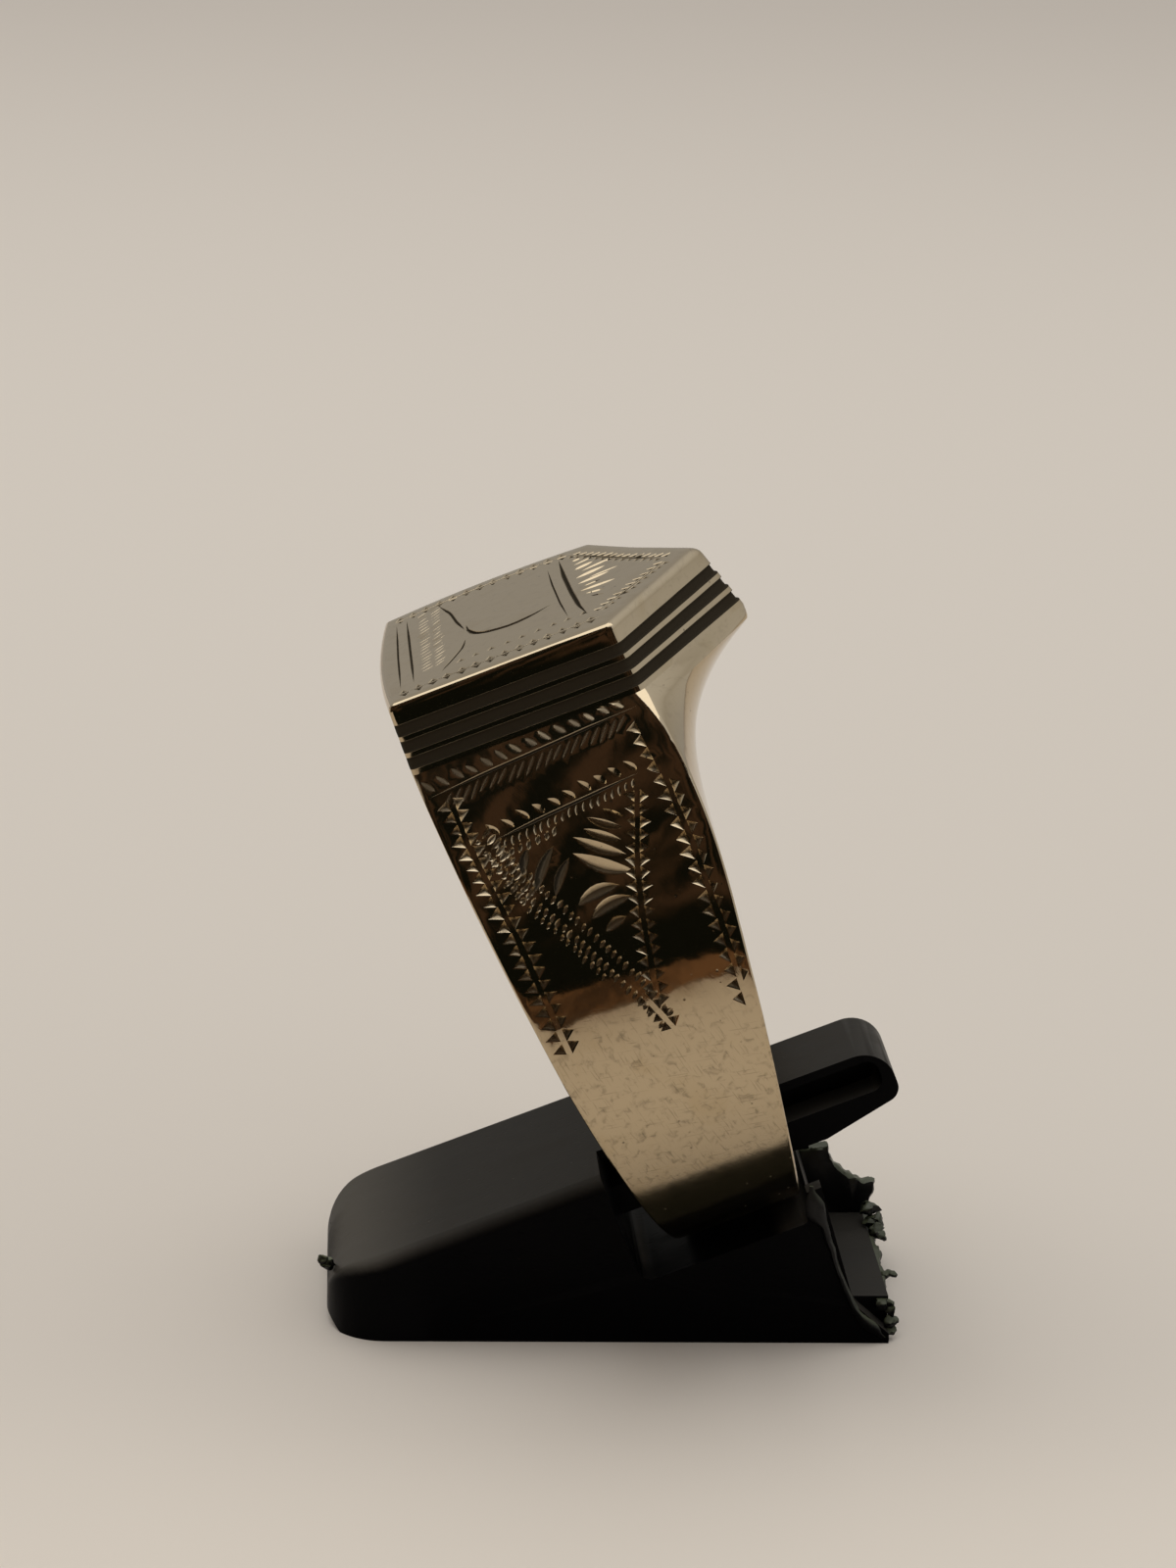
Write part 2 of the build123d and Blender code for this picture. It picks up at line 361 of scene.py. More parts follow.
@dataclass(frozen=True)
class Cut:
    """One hollow left by the graver: a small faceted dip with its rim at the surface.

    Each point holds its place and its depth; grime is the share that lies at the deepest point.
    """

    points: np.ndarray
    facets: tuple[tuple[int, int, int], ...]
    grime: float

    def edges(self) -> set[tuple[int, int]]:
        """The dip's edges, as pairs of point numbers."""
        pairs = set()
        for facet in self.facets:
            for first, second in zip(facet, facet[1:] + facet[:1]):
                pairs.add((min(first, second), max(first, second)))
        return pairs

    def depth_at(self, places: np.ndarray) -> np.ndarray:
        """Depth of the dip at places on the surface, 0 outside it."""
        flat, rounding = 1e-9, 1e-5
        depth = np.zeros(len(places))
        for facet in self.facets:
            a, b, c = self.points[list(facet), :2]
            deep_a, deep_b, deep_c = self.points[list(facet), 2]
            area = cross(b - a, c - a)
            if abs(area) < flat:
                continue
            at_a = cross(b - places, c - places) / area
            at_b = cross(c - places, a - places) / area
            at_c = 1 - at_a - at_b
            inside = np.minimum(np.minimum(at_a, at_b), at_c) > -rounding
            value = at_a * deep_a + at_b * deep_b + at_c * deep_c
            depth = np.where(inside, np.maximum(depth, value), depth)
        return depth

    def mirrored(self, length: float) -> "Cut":
        """The same dip on the other shoulder of an outline of that length."""
        points = self.points.copy()
        points[:, 1] = length - points[:, 1]
        return Cut(points, self.facets, self.grime)


def chip(first: np.ndarray, second: np.ndarray, tip: np.ndarray, depth: float, grime: float,
         lean: float) -> Cut:
    """A three-cornered chip, deepest near its base.

    Args:
        first: One end of the base.
        second: The base's other end.
        tip: The corner away from the base.
        depth: Depth at the deepest point.
        grime: Share of grime there.
        lean: How far the deepest point lies towards the first end, from -1 to 1.

    Returns:
        The dip.
    """
    inward = 0.25
    base = (first * (1 + lean) + second * (1 - lean)) / 2
    places = np.array([first, second, tip, base * (1 - inward) + tip * inward])
    points = np.column_stack([places, [0, 0, 0, depth]])
    return Cut(points, ((0, 1, 3), (1, 2, 3), (2, 0, 3)), grime)


def keeled(tips: np.ndarray, keel: np.ndarray, left: np.ndarray, right: np.ndarray,
           depth: np.ndarray, grime: float) -> Cut:
    """A cut between two tips, deep along a keel between its two rims.

    Args:
        tips: Its two ends.
        keel: Points along the keel.
        left: As many points along the left rim.
        right: As many along the right rim.
        depth: Depth at each point of the keel.
        grime: Share of grime at the deepest point.

    Returns:
        The dip.
    """
    count = len(keel)
    places = np.concatenate([tips, left, right, keel])
    points = np.column_stack([places, np.zeros(len(places))])
    points[2 + 2 * count:, 2] = depth
    one, two, low = 2, 2 + count, 2 + 2 * count
    facets = [(0, low, one), (0, two, low)]
    for i in range(count - 1):
        facets += [(one + i, low + i, low + i + 1), (one + i, low + i + 1, one + i + 1)]
        facets += [(two + i, low + i + 1, low + i), (two + i, two + i + 1, low + i + 1)]
    facets += [(one + count - 1, low + count - 1, 1), (two + count - 1, 1, low + count - 1)]
    return Cut(points, tuple(facets), grime)


def leaf(start: np.ndarray, end: np.ndarray, width: float, depth: float, grime: float,
         lean: float, bow: float = 0.0, fullness: float = 0.5) -> Cut:
    """A pointed oval cut with a keel along it.

    Args:
        start: One tip.
        end: The other tip.
        width: Greatest width.
        depth: Greatest depth.
        grime: Share of grime at the deepest point.
        lean: Where the keel lies between the sides, 1 being the side of smaller y or s.
        bow: How far the cut curves towards that side at its middle.
        fullness: Where the widest place lies, from start to end.

    Returns:
        The dip.
    """
    steps, roundness, floor_roundness = 7, 0.8, 0.7
    along = end - start
    side = np.array([-along[1], along[0]]) / np.linalg.norm(along)
    if side[1] > 0:
        side = -side
    share = np.arange(1, steps) / steps
    swell = np.sin(math.pi * share ** (math.log(0.5) / math.log(fullness)))
    middle = start + along * share[:, None] + side * (bow * 4 * share * (1 - share))[:, None]
    half = (side * width / 2) * (swell**roundness)[:, None]
    return keeled(np.array([start, end]), middle + half * lean, middle + half, middle - half,
                  depth * swell**floor_roundness, grime)


class Route:
    """A line of the layout, read by the distance along it."""

    def __init__(self, points: Sequence[Point]) -> None:
        """Measures the line through the points."""
        self.points = np.array(points, float)
        steps = np.linalg.norm(np.diff(self.points, axis=0), axis=1)
        self.distances = np.concatenate([[0.0], np.cumsum(steps)])
        self.length = float(self.distances[-1])

    def at(self, distance: float) -> np.ndarray:
        """The point at a distance along the line."""
        x, y = (np.interp(distance, self.distances, self.points[:, axis]) for axis in (0, 1))
        return np.array([x, y])

    def directions(self, distance: float) -> tuple[np.ndarray, np.ndarray]:
        """Unit directions along and to the left of the line at a distance."""
        reach = 0.3
        step = self.at(min(distance + reach, self.length)) - self.at(max(distance - reach, 0))
        along = step / np.linalg.norm(step)
        return along, np.array([-along[1], along[0]])


def groove_line(route: Route, width: float, depth: float, grime: float, lean: float) -> Cut:
    """A V-shaped line along a route, tapering out at both ends.

    Args:
        route: The line's course.
        width: Width at the surface.
        depth: Depth along the middle.
        grime: Share of grime along the middle.
        lean: Where its deepest line lies between the sides, 1 being the left one.

    Returns:
        The dip.
    """
    spacing, least, taper = 0.4, 4, 4
    count = max(least, round(route.length / spacing))
    share = np.arange(1, count) / count
    rise = np.minimum(1.0, taper * np.minimum(share, 1 - share))
    middle = np.array([route.at(x * route.length) for x in share])
    aside = np.array([route.directions(x * route.length)[1] for x in share])
    half = aside * (width / 2 * rise)[:, None]
    tips = np.array([route.at(0), route.at(route.length)])
    return keeled(tips, middle + half * lean, middle + half, middle - half, depth * rise, grime)


class CutShape(Enum):
    """Shapes of the cuts that stand in rows."""

    CHIP = "three-cornered chip"
    DROP = "slanted drop, full at its foot"
    TICK = "short narrow tick"


@dataclass(frozen=True)
class CutRow:
    """A row of like cuts beside a line of the layout, in millimetres.

    A positive side lies to the left of the line's course. The slant moves a cut's tip along it.
    """

    shape: CutShape
    side: int
    pitch: float
    reach: float
    width: float
    depth: float
    gap: float = 0.08
    slant: float = 0.0
    skip_start: float = 0.0
    skip_end: float = 0.0
    grime: float = 0.22
    lean: float = 0.0


@dataclass(frozen=True)
class BorderLine:
    """A line of the layout with the rows of cuts that stand along it."""

    course: tuple[Point, ...]
    rows: tuple[CutRow, ...] = ()
    width: float = 0.0
    depth: float = 0.0
    grime: float = 1.0
    lean: float = 0.0


@dataclass(frozen=True)
class Spray:
    """Leaf cuts side by side, each given by its tips, width and sideways bow."""

    leaves: tuple[tuple[Point, Point, float, float], ...]
    depth: float
    lean: float
    grime: float = 0.15


class Graver:
    """Makes the cuts of a layout with a steady but human hand."""

    unsteady_place = 0.022
    unsteady_size = 0.14
    drop_fullness = 0.42

    def __init__(self, seed: int) -> None:
        """Starts from a fixed seed, so that each run makes the same cuts."""
        self.hand = random.Random(seed)

    def shaken(self, place: np.ndarray) -> np.ndarray:
        """A place as the hand meets it."""
        amount = self.unsteady_place
        return place + np.array([self.hand.uniform(-amount, amount) for _ in range(2)])

    def sized(self, size: float) -> float:
        """A size as the hand meets it."""
        return size * self.hand.uniform(1 - self.unsteady_size, 1 + self.unsteady_size)

    def row(self, route: Route, row: CutRow) -> list[Cut]:
        """The cuts of one row along a route."""
        cuts = []
        distance = row.skip_start + row.pitch / 2
        while distance < route.length - row.skip_end:
            along, aside = route.directions(distance)
            aside = aside * row.side
            foot = self.shaken(route.at(distance) + aside * row.gap)
            tip = self.shaken(foot + aside * self.sized(row.reach) + along * row.slant)
            width, depth = self.sized(row.width), self.sized(row.depth)
            if row.shape is CutShape.CHIP:
                ends = foot - along * width / 2, foot + along * width / 2
                cuts.append(chip(*ends, tip, depth, row.grime, row.lean))
            else:
                fullness = self.drop_fullness if row.shape is CutShape.DROP else 0.5
                cuts.append(leaf(foot, tip, width, depth, row.grime, row.lean, fullness=fullness))
            distance += row.pitch
        return cuts

    def border(self, line: BorderLine) -> list[Cut]:
        """The cuts of a border line and its rows."""
        route = Route(line.course)
        cuts = [groove_line(route, line.width, line.depth, line.grime, line.lean)] if line.depth else []
        for row in line.rows:
            cuts += self.row(route, row)
        return cuts

    def spray(self, spray: Spray) -> list[Cut]:
        """The leaf cuts of a spray."""
        cuts = []
        for start, end, width, bow in spray.leaves:
            tips = np.array(start), np.array(end)
            cuts.append(leaf(*tips, width, spray.depth, spray.grime, lean=spray.lean, bow=bow))
        return cuts


def chips(side: int, pitch: float, reach: float, **more: float) -> CutRow:
    """A row of three-cornered chips that all but touch, with their wide facets turned up."""
    usual = {"width": pitch * 0.94, "depth": 0.15, "gap": 0.1, "lean": 0.35, "grime": 0.29}
    return CutRow(CutShape.CHIP, side, pitch, reach, **(usual | more))


def ticks(side: int, pitch: float, reach: float, width: float, **more: float) -> CutRow:
    """A row of narrow ticks of the usual depth."""
    usual = {"depth": 0.07, "gap": 0.1, "lean": 0.3, "grime": 0.2}
    return CutRow(CutShape.TICK, side, pitch, reach, width, **(usual | more))


def drops(side: int, pitch: float, reach: float, width: float, **more: float) -> CutRow:
    """A row of slanted drops of the usual depth."""
    usual = {"depth": 0.13, "gap": 0.2, "lean": 0.35, "grime": 0.11}
    return CutRow(CutShape.DROP, side, pitch, reach, width, **(usual | more))


def notches(side: int, pitch: float) -> CutRow:
    """A row of the small dark notches that edge the face."""
    return CutRow(CutShape.CHIP, side, pitch, 0.34, 0.36, 0.09, gap=0.07, grime=1.0)


def scored(width: float, depth: float, *course: Point, rows: tuple[CutRow, ...] = (),
           lean: float = 0.0) -> BorderLine:
    """A line that is itself cut, dark with grime."""
    return BorderLine(course, rows, width, depth, lean=lean)


@dataclass(frozen=True)
class Layout:
    """Ornament whose lines and sprays are fields, cut in the order that they are written in."""

    def carved(self, graver: Graver) -> list[Cut]:
        """The cuts of every line and spray."""
        made = []
        for part in (getattr(self, item.name) for item in fields(self)):
            if isinstance(part, BorderLine):
                made += graver.border(part)
            elif isinstance(part, Spray):
                made += graver.spray(part)
        return made


@dataclass(frozen=True)
class ShoulderLayout(Layout):
    """The bright-cut ornament of a shoulder; a place is x and the distance down from the head."""

    top_margin: float = 0.07
    top_border: BorderLine = scored(
        0.13, 0.07, (-4.78, 1.06), (-2.1, 0.86), (0.4, 0.7), (3.4, 0.5),
        rows=(
            drops(-1, 0.575, 0.52, 0.3, gap=0.15, slant=-0.34, skip_end=0.2, depth=0.03, lean=0.5,
                  grime=0.22),
            drops(1, 0.36, 0.62, 0.2, gap=0.1, slant=-0.6, skip_start=0.7, skip_end=0.3, depth=0.026,
                  lean=0.4, grime=0.12),
        ),
    )
    second_line: BorderLine = scored(
        0.13, 0.07, (-3.05, 3.42), (-1.0, 3.22), (1.0, 3.06), (2.65, 2.92),
        rows=(
            drops(-1, 0.6, 0.46, 0.28, gap=0.15, slant=-0.34, grime=0.08, lean=-0.5),
            ticks(1, 0.28, 0.34, 0.13, gap=0.12, slant=-0.14, lean=-0.4, grime=0.27),
            ticks(1, 0.34, 0.3, 0.18, gap=0.5, slant=-0.2, skip_end=3.2, grime=0.25),
        ),
    )
    left_border: BorderLine = BorderLine(
        course=((-4.08, 1.35), (-3.98, 3.2), (-3.74, 5.0), (-3.44, 7.2), (-3.16, 11.7)),
        rows=(chips(1, 0.49, 0.47), chips(-1, 0.49, 0.42, slant=-0.06)),
    )
    right_border: BorderLine = BorderLine(
        course=((3.25, 1.0), (3.5, 3.4), (3.6, 6.0), (3.58, 9.0), (3.44, 12.1)),
        rows=(chips(1, 0.56, 0.42, slant=-0.08),
              chips(-1, 0.56, 0.3, slant=-0.05, skip_start=2.5, skip_end=0.5)),
    )
    left_arm: BorderLine = BorderLine(
        course=((-3.3, 3.6), (-2.1, 6.1), (-1.1, 7.95), (-0.6, 9.0), (0.0, 10.3), (0.5, 11.6)),
        rows=(ticks(1, 0.29, 0.34, 0.18, slant=0.12), ticks(-1, 0.29, 0.34, 0.18, slant=-0.1),
              ticks(1, 0.3, 0.26, 0.15, gap=0.42, slant=0.1, skip_start=1.2, skip_end=2.6)),
    )
    right_arm: BorderLine = BorderLine(
        course=((2.4, 3.5), (2.05, 4.5), (1.5, 6.0), (1.1, 7.5), (0.75, 9.3), (0.4, 11.2)),
        rows=(chips(1, 0.46, 0.36, slant=-0.06, skip_end=0.6), chips(-1, 0.46, 0.36)),
    )
    corner_cuts: BorderLine = BorderLine(
        course=((-3.5, 3.1), (-3.1, 4.4), (-2.6, 5.9)),
        rows=(ticks(-1, 0.27, 0.5, 0.21, gap=0.04, slant=-0.16, depth=0.09),
              ticks(1, 0.27, 0.26, 0.18, gap=0.02, slant=-0.05)),
    )
    end_cuts: BorderLine = BorderLine(
        course=((0.05, 10.45), (0.62, 11.95)),
        rows=(chips(-1, 0.42, 0.36), chips(1, 0.42, 0.34)),
    )
    bright_spray: Spray = Spray(
        leaves=(
            ((-0.55, 4.85), (1.3, 6.2), 0.56, -0.14),
            ((-0.35, 4.3), (1.25, 5.55), 0.46, -0.1),
            ((0.1, 4.15), (1.25, 5.0), 0.38, -0.06),
            ((0.35, 3.8), (1.45, 4.6), 0.32, -0.06),
            ((1.0, 3.7), (1.6, 4.2), 0.22, -0.04),
        ),
        depth=0.2,
        lean=-0.3,
        grime=0.16,
    )
    left_spray: Spray = Spray(
        leaves=(
            ((-1.1, 4.35), (-2.25, 5.7), 0.44, 0.1),
            ((-0.7, 4.95), (-1.65, 6.1), 0.4, 0.1),
            ((-2.0, 4.1), (-2.5, 4.95), 0.36, 0.05),
        ),
        depth=0.13,
        lean=0.65,
        grime=0.6,
    )
    low_spray: Spray = Spray(
        leaves=(
            ((-1.05, 6.7), (0.65, 6.5), 0.52, 0.16),
            ((-0.75, 7.3), (0.9, 7.0), 0.5, 0.14),
            ((-0.4, 7.9), (0.5, 7.65), 0.4, 0.08),
        ),
        depth=0.15,
        lean=0.3,
        grime=0.26,
    )

    def cuts(self, graver: Graver) -> list[Cut]:
        """Every cut of the near shoulder, kept clear of the head's wall."""
        made = self.carved(graver)
        for cut in made:
            cut.points[:, 1] = np.maximum(cut.points[:, 1], self.top_margin)
        return made


@dataclass(frozen=True)
class FaceLayout(Layout):
    """The ornament of the face, whose middle stays plain; a place is x and y."""

    near_rows: BorderLine = scored(
        0.08, 0.03, (-4.65, -5.0), (3.25, -4.6), rows=(notches(-1, 0.56), notches(1, 0.56)))
    near_inner: BorderLine = BorderLine(course=((-2.4, -3.75), (2.75, -3.6)), rows=(notches(1, 0.6),))
    far_rows: BorderLine = scored(
        0.09, 0.03, (-4.65, 5.1), (2.9, 5.2), rows=(notches(-1, 0.56), notches(1, 0.56)))
    outer_line: BorderLine = scored(0.11, 0.045, (-4.5, 4.75), (-4.52, 0), (-4.48, -4.4))
    inner_line: BorderLine = scored(0.14, 0.055, (-4.08, 4.9), (-4.02, 0), (-3.96, -4.3))
    arrow_far: BorderLine = scored(0.15, 0.06, (-2.75, 4.9), (-2.3, 3.2), (-2.1, 1.7), (-1.8, 0.1))
    arrow_near: BorderLine = scored(
        0.14, 0.055, (-1.82, -1.0), (-1.98, -2.0), (-2.4, -3.0), (-2.95, -4.2))
    cross_line: BorderLine = scored(
        0.24, 0.1, (2.22, 5.0), (2.28, 2.5), (2.42, 0.0), (2.6, -2.2), (2.85, -3.8))
    cross_thin: BorderLine = scored(0.1, 0.04, (1.72, 4.2), (1.78, 1.8), (1.92, -0.9), (2.12, -3.3))
    point_near: BorderLine = scored(
        0.1, 0.045, (3.25, -3.85), (4.7, -2.05), (6.15, -0.3),
        rows=(notches(-1, 0.45), notches(1, 0.45)))
    point_far: BorderLine = scored(
        0.13, 0.055, (2.75, 5.0), (4.3, 2.7), (6.15, 0.1), rows=(notches(1, 0.4), notches(-1, 0.42)))
    crescent: BorderLine = scored(
        0.26, 0.1, (-1.75, 0.8), (-1.72, -0.1), (-1.4, -0.85), (-0.8, -1.3), (0.0, -1.5),
        (0.8, -1.25), (1.6, -0.75), lean=0.7)
    hatch: Spray = Spray(
        leaves=(
            ((2.66, 4.6), (3.2, 4.85), 0.12, 0.0),
            ((2.7, 4.0), (3.1, 4.15), 0.2, 0.0),
            ((2.75, 3.4), (3.6, 3.8), 0.16, 0.0),
            ((2.7, 2.7), (3.5, 3.1), 0.3, 0.0),
            ((3.0, 2.25), (4.25, 2.75), 0.22, 0.0),
            ((2.72, 1.5), (3.9, 1.95), 0.34, 0.0),
            ((3.2, 1.05), (4.4, 1.3), 0.16, 0.0),
            ((2.74, 0.65), (4.0, 0.95), 0.3, 0.0),
            ((2.9, 0.1), (3.6, 0.25), 0.14, 0.0),
            ((2.76, -0.4), (4.15, -0.35), 0.28, 0.0),
            ((2.95, -0.95), (3.7, -1.2), 0.2, 0.0),
            ((3.1, -1.5), (3.6, -1.8), 0.12, 0.0),
        ),
        depth=0.13,
        lean=0.6,
        grime=0.0,
    )
    stroke_columns: tuple[tuple[Point, Point, float], ...] = (
        ((-3.62, -3.4), (-3.62, 4.6), 0.3), ((-3.1, -3.3), (-3.1, 4.6), 0.4))

    def cuts(self, graver: Graver) -> list[Cut]:
        """Every cut of the face, with the short fine strokes that fill the panel along its back."""
        made = self.carved(graver)
        for low, high, slant in self.stroke_columns:
            row = ticks(-1, 0.4, 0.42, 0.06, depth=0.014, gap=0.0, slant=slant, lean=0.4)
            made += graver.row(Route((low, high)), row)
        return made


class EngravedPatch:
    """A flat layout of a surface with its cuts, ready to be laid on the metal."""

    grime_spread = 3.5
    sliver_area = 1e-4
    row_spacing = 0.87
    border_clearance = 0.45
    rounding = 1e-4
    joining_distance = 1e-5

    def __init__(self, border: np.ndarray, cuts: list[Cut], spacing: float) -> None:
        """Keeps the closed border, the cuts and the spacing of the plain metal's points."""
        self.border = border
        self.cuts = cuts
        self.spacing = spacing

    def read(self, places: np.ndarray) -> tuple[np.ndarray, np.ndarray]:
        """Depth and grime of the cuts at each place."""
        depth, grime = np.zeros(len(places)), np.zeros(len(places))
        for cut in self.cuts:
            low, high = cut.points[:, :2].min(axis=0), cut.points[:, :2].max(axis=0)
            within = (places >= low - self.rounding) & (places <= high + self.rounding)
            near = np.flatnonzero(np.all(within, axis=1))
            if len(near):
                found = cut.depth_at(places[near])
                depth[near] = np.maximum(depth[near], found)
                share = np.minimum(self.grime_spread * found / cut.points[:, 2].max(), 1)
                grime[near] = np.maximum(grime[near], cut.grime * share)
        return depth, grime

    def contains(self, places: np.ndarray) -> np.ndarray:
        """Which places lie inside the border."""
        inside = np.zeros(len(places), bool)
        x, y = places[:, 0], places[:, 1]
        for (x1, y1), (x2, y2) in zip(self.border, np.roll(self.border, -1, axis=0)):
            if y1 == y2:
                continue
            crosses = (y1 > y) != (y2 > y)
            inside ^= crosses & (x < x1 + (y - y1) * (x2 - x1) / (y2 - y1))
        return inside

    def plain_points(self) -> np.ndarray:
        """Points of the uncut metal, in staggered rows clear of the cuts and the border."""
        low, high = self.border.min(axis=0), self.border.max(axis=0)
        rows = []
        for number, y in enumerate(np.arange(low[1], high[1], self.spacing * self.row_spacing)):
            xs = np.arange(low[0] + (number % 2) * self.spacing / 2, high[0], self.spacing)
            rows.append(np.column_stack([xs, np.full_like(xs, y)]))
        grid = np.concatenate(rows)
        grid = grid[self.contains(grid) & (self.read(grid)[0] == 0)]
        gaps = np.full(len(grid), np.inf)
        for corner in self.border:
            gaps = np.minimum(gaps, np.hypot(*(grid - corner).T))
        return grid[gaps > self.spacing * self.border_clearance]

    def triangles(self) -> tuple[np.ndarray, np.ndarray, np.ndarray, np.ndarray]:
        """Divides the layout so that every edge of a cut is an edge of the mesh.

        Returns:
            The places, their depths, their grime and the triangles as point numbers.
        """
        count = len(self.border)
        points = [self.border]
        edges = [(i, (i + 1) % count) for i in range(count)]
        for cut in self.cuts:
            edges += [(count + a, count + b) for a, b in cut.edges()]
            points.append(cut.points[:, :2])
            count += len(cut.points)
        points.append(self.plain_points())
        corners = [Vector(p) for p in np.concatenate(points)]
        found = delaunay_2d_cdt(corners, edges, [], 0, self.joining_distance, True)
        places = np.array([tuple(p) for p in found[0]])
        faces = np.array([face for face in found[2] if len(face) == 3])
        a, b, c = (places[faces[:, i]] for i in range(3))
        area = np.abs(cross(b - a, c - a)) / 2
        on_border = np.array([any(i < len(self.border) for i in origins) for origins in found[3]])
        sliver = on_border[faces].all(axis=1) & (area < self.sliver_area)
        faces = faces[self.contains(places[faces].mean(axis=1)) & ~sliver]
        return places, *self.read(places), faces


# Meshes


class MeshDraft:
    """Collects the sheets of one closed body before they are welded together.

    Each point has a place on its own sheet, in millimetres, which the finishes read for their
    scratches, and a share of the grime that lies in hollows.
    """

    weld_distance = 0.004

    def __init__(self) -> None:
        """Starts with no sheets."""
        self.points: list[np.ndarray] = []
        self.places: list[np.ndarray] = []
        self.grime: list[np.ndarray] = []
        self.faces: list[tuple[int, ...]] = []
        self.count = 0

    def add(self, points: np.ndarray, places: np.ndarray, faces: np.ndarray,
            grime: np.ndarray | None = None) -> None:
        """Adds a sheet given by its points and faces, clean if no grime is given."""
        self.points.append(points)
        self.places.append(places)
        self.grime.append(np.zeros(len(points)) if grime is None else grime)
        self.faces += [tuple(face) for face in (faces + self.count).tolist()]
        self.count += len(points)

    def add_rows(self, points: np.ndarray, grime: np.ndarray | None = None) -> None:
        """Adds a sheet given by rows of as many points each.

        Args:
            points: Points indexed by row, column and axis.
            grime: Share of grime at each point, none if left out.
        """
        index = np.arange(points[..., 0].size).reshape(points.shape[:2])
        sides = (index[:-1, :-1], index[1:, :-1], index[1:, 1:], index[:-1, 1:])
        faces = np.stack([side.ravel() for side in sides], axis=1)
        places = arc_places(points).reshape(-1, 2)
        self.add(points.reshape(-1, 3), places, faces, None if grime is None else grime.ravel())

    def build(self, name: str, matrix: Matrix, sharp_degrees: float) -> bpy.types.Object:
        """Welds the sheets into one mesh object.

        Args:
            name: The piece's name.
            matrix: Step from the draft's frame to the standing part.
            sharp_degrees: Edges that turn by more than this stay crisp.

        Returns:
            The new object, in the scene.
        """
        mesh = bpy.data.meshes.new(name)
        mesh.from_pydata(np.concatenate(self.points).tolist(), [], self.faces)
        owners = np.empty(len(mesh.loops), np.int32)
        mesh.loops.foreach_get("vertex_index", owners)
        places = np.concatenate(self.places)
        flat = np.column_stack([places, np.zeros(len(places))])[owners]
        mesh.attributes.new("wear_place", "FLOAT_VECTOR", "CORNER").data.foreach_set("vector", flat.ravel())
        grime = mesh.attributes.new("grime", "FLOAT", "POINT")
        grime.data.foreach_set("value", np.concatenate(self.grime).astype(np.float32))
        body = bmesh.new()
        body.from_mesh(mesh)
        bmesh.ops.remove_doubles(body, verts=body.verts, dist=self.weld_distance)
        bmesh.ops.recalc_face_normals(body, faces=body.faces)
        open_edges = sum(1 for edge in body.edges if len(edge.link_faces) != 2)
        body.to_mesh(mesh)
        body.free()
        mesh.transform(matrix)
        mesh.shade_smooth()
        mesh.set_sharp_from_angle(angle=math.radians(sharp_degrees))
        LOG.info("%s: %d faces, %d open edges", name, len(mesh.polygons), open_edges)
        piece = bpy.data.objects.new(name, mesh)
        bpy.context.scene.collection.objects.link(piece)
        return piece


def arc_places(points: np.ndarray) -> np.ndarray:
    """Places on a sheet of rows: the distance across each row and the mean distance between rows."""
    across = np.linalg.norm(np.diff(points, axis=1), axis=2)
    along = np.linalg.norm(np.diff(points, axis=0), axis=2).mean(axis=1)
    places = np.zeros(points.shape[:2] + (2,))
    places[:, 1:, 0] = np.cumsum(across, axis=1)
    places[1:, :, 1] = np.cumsum(along)[:, None]
    return places


# Shading


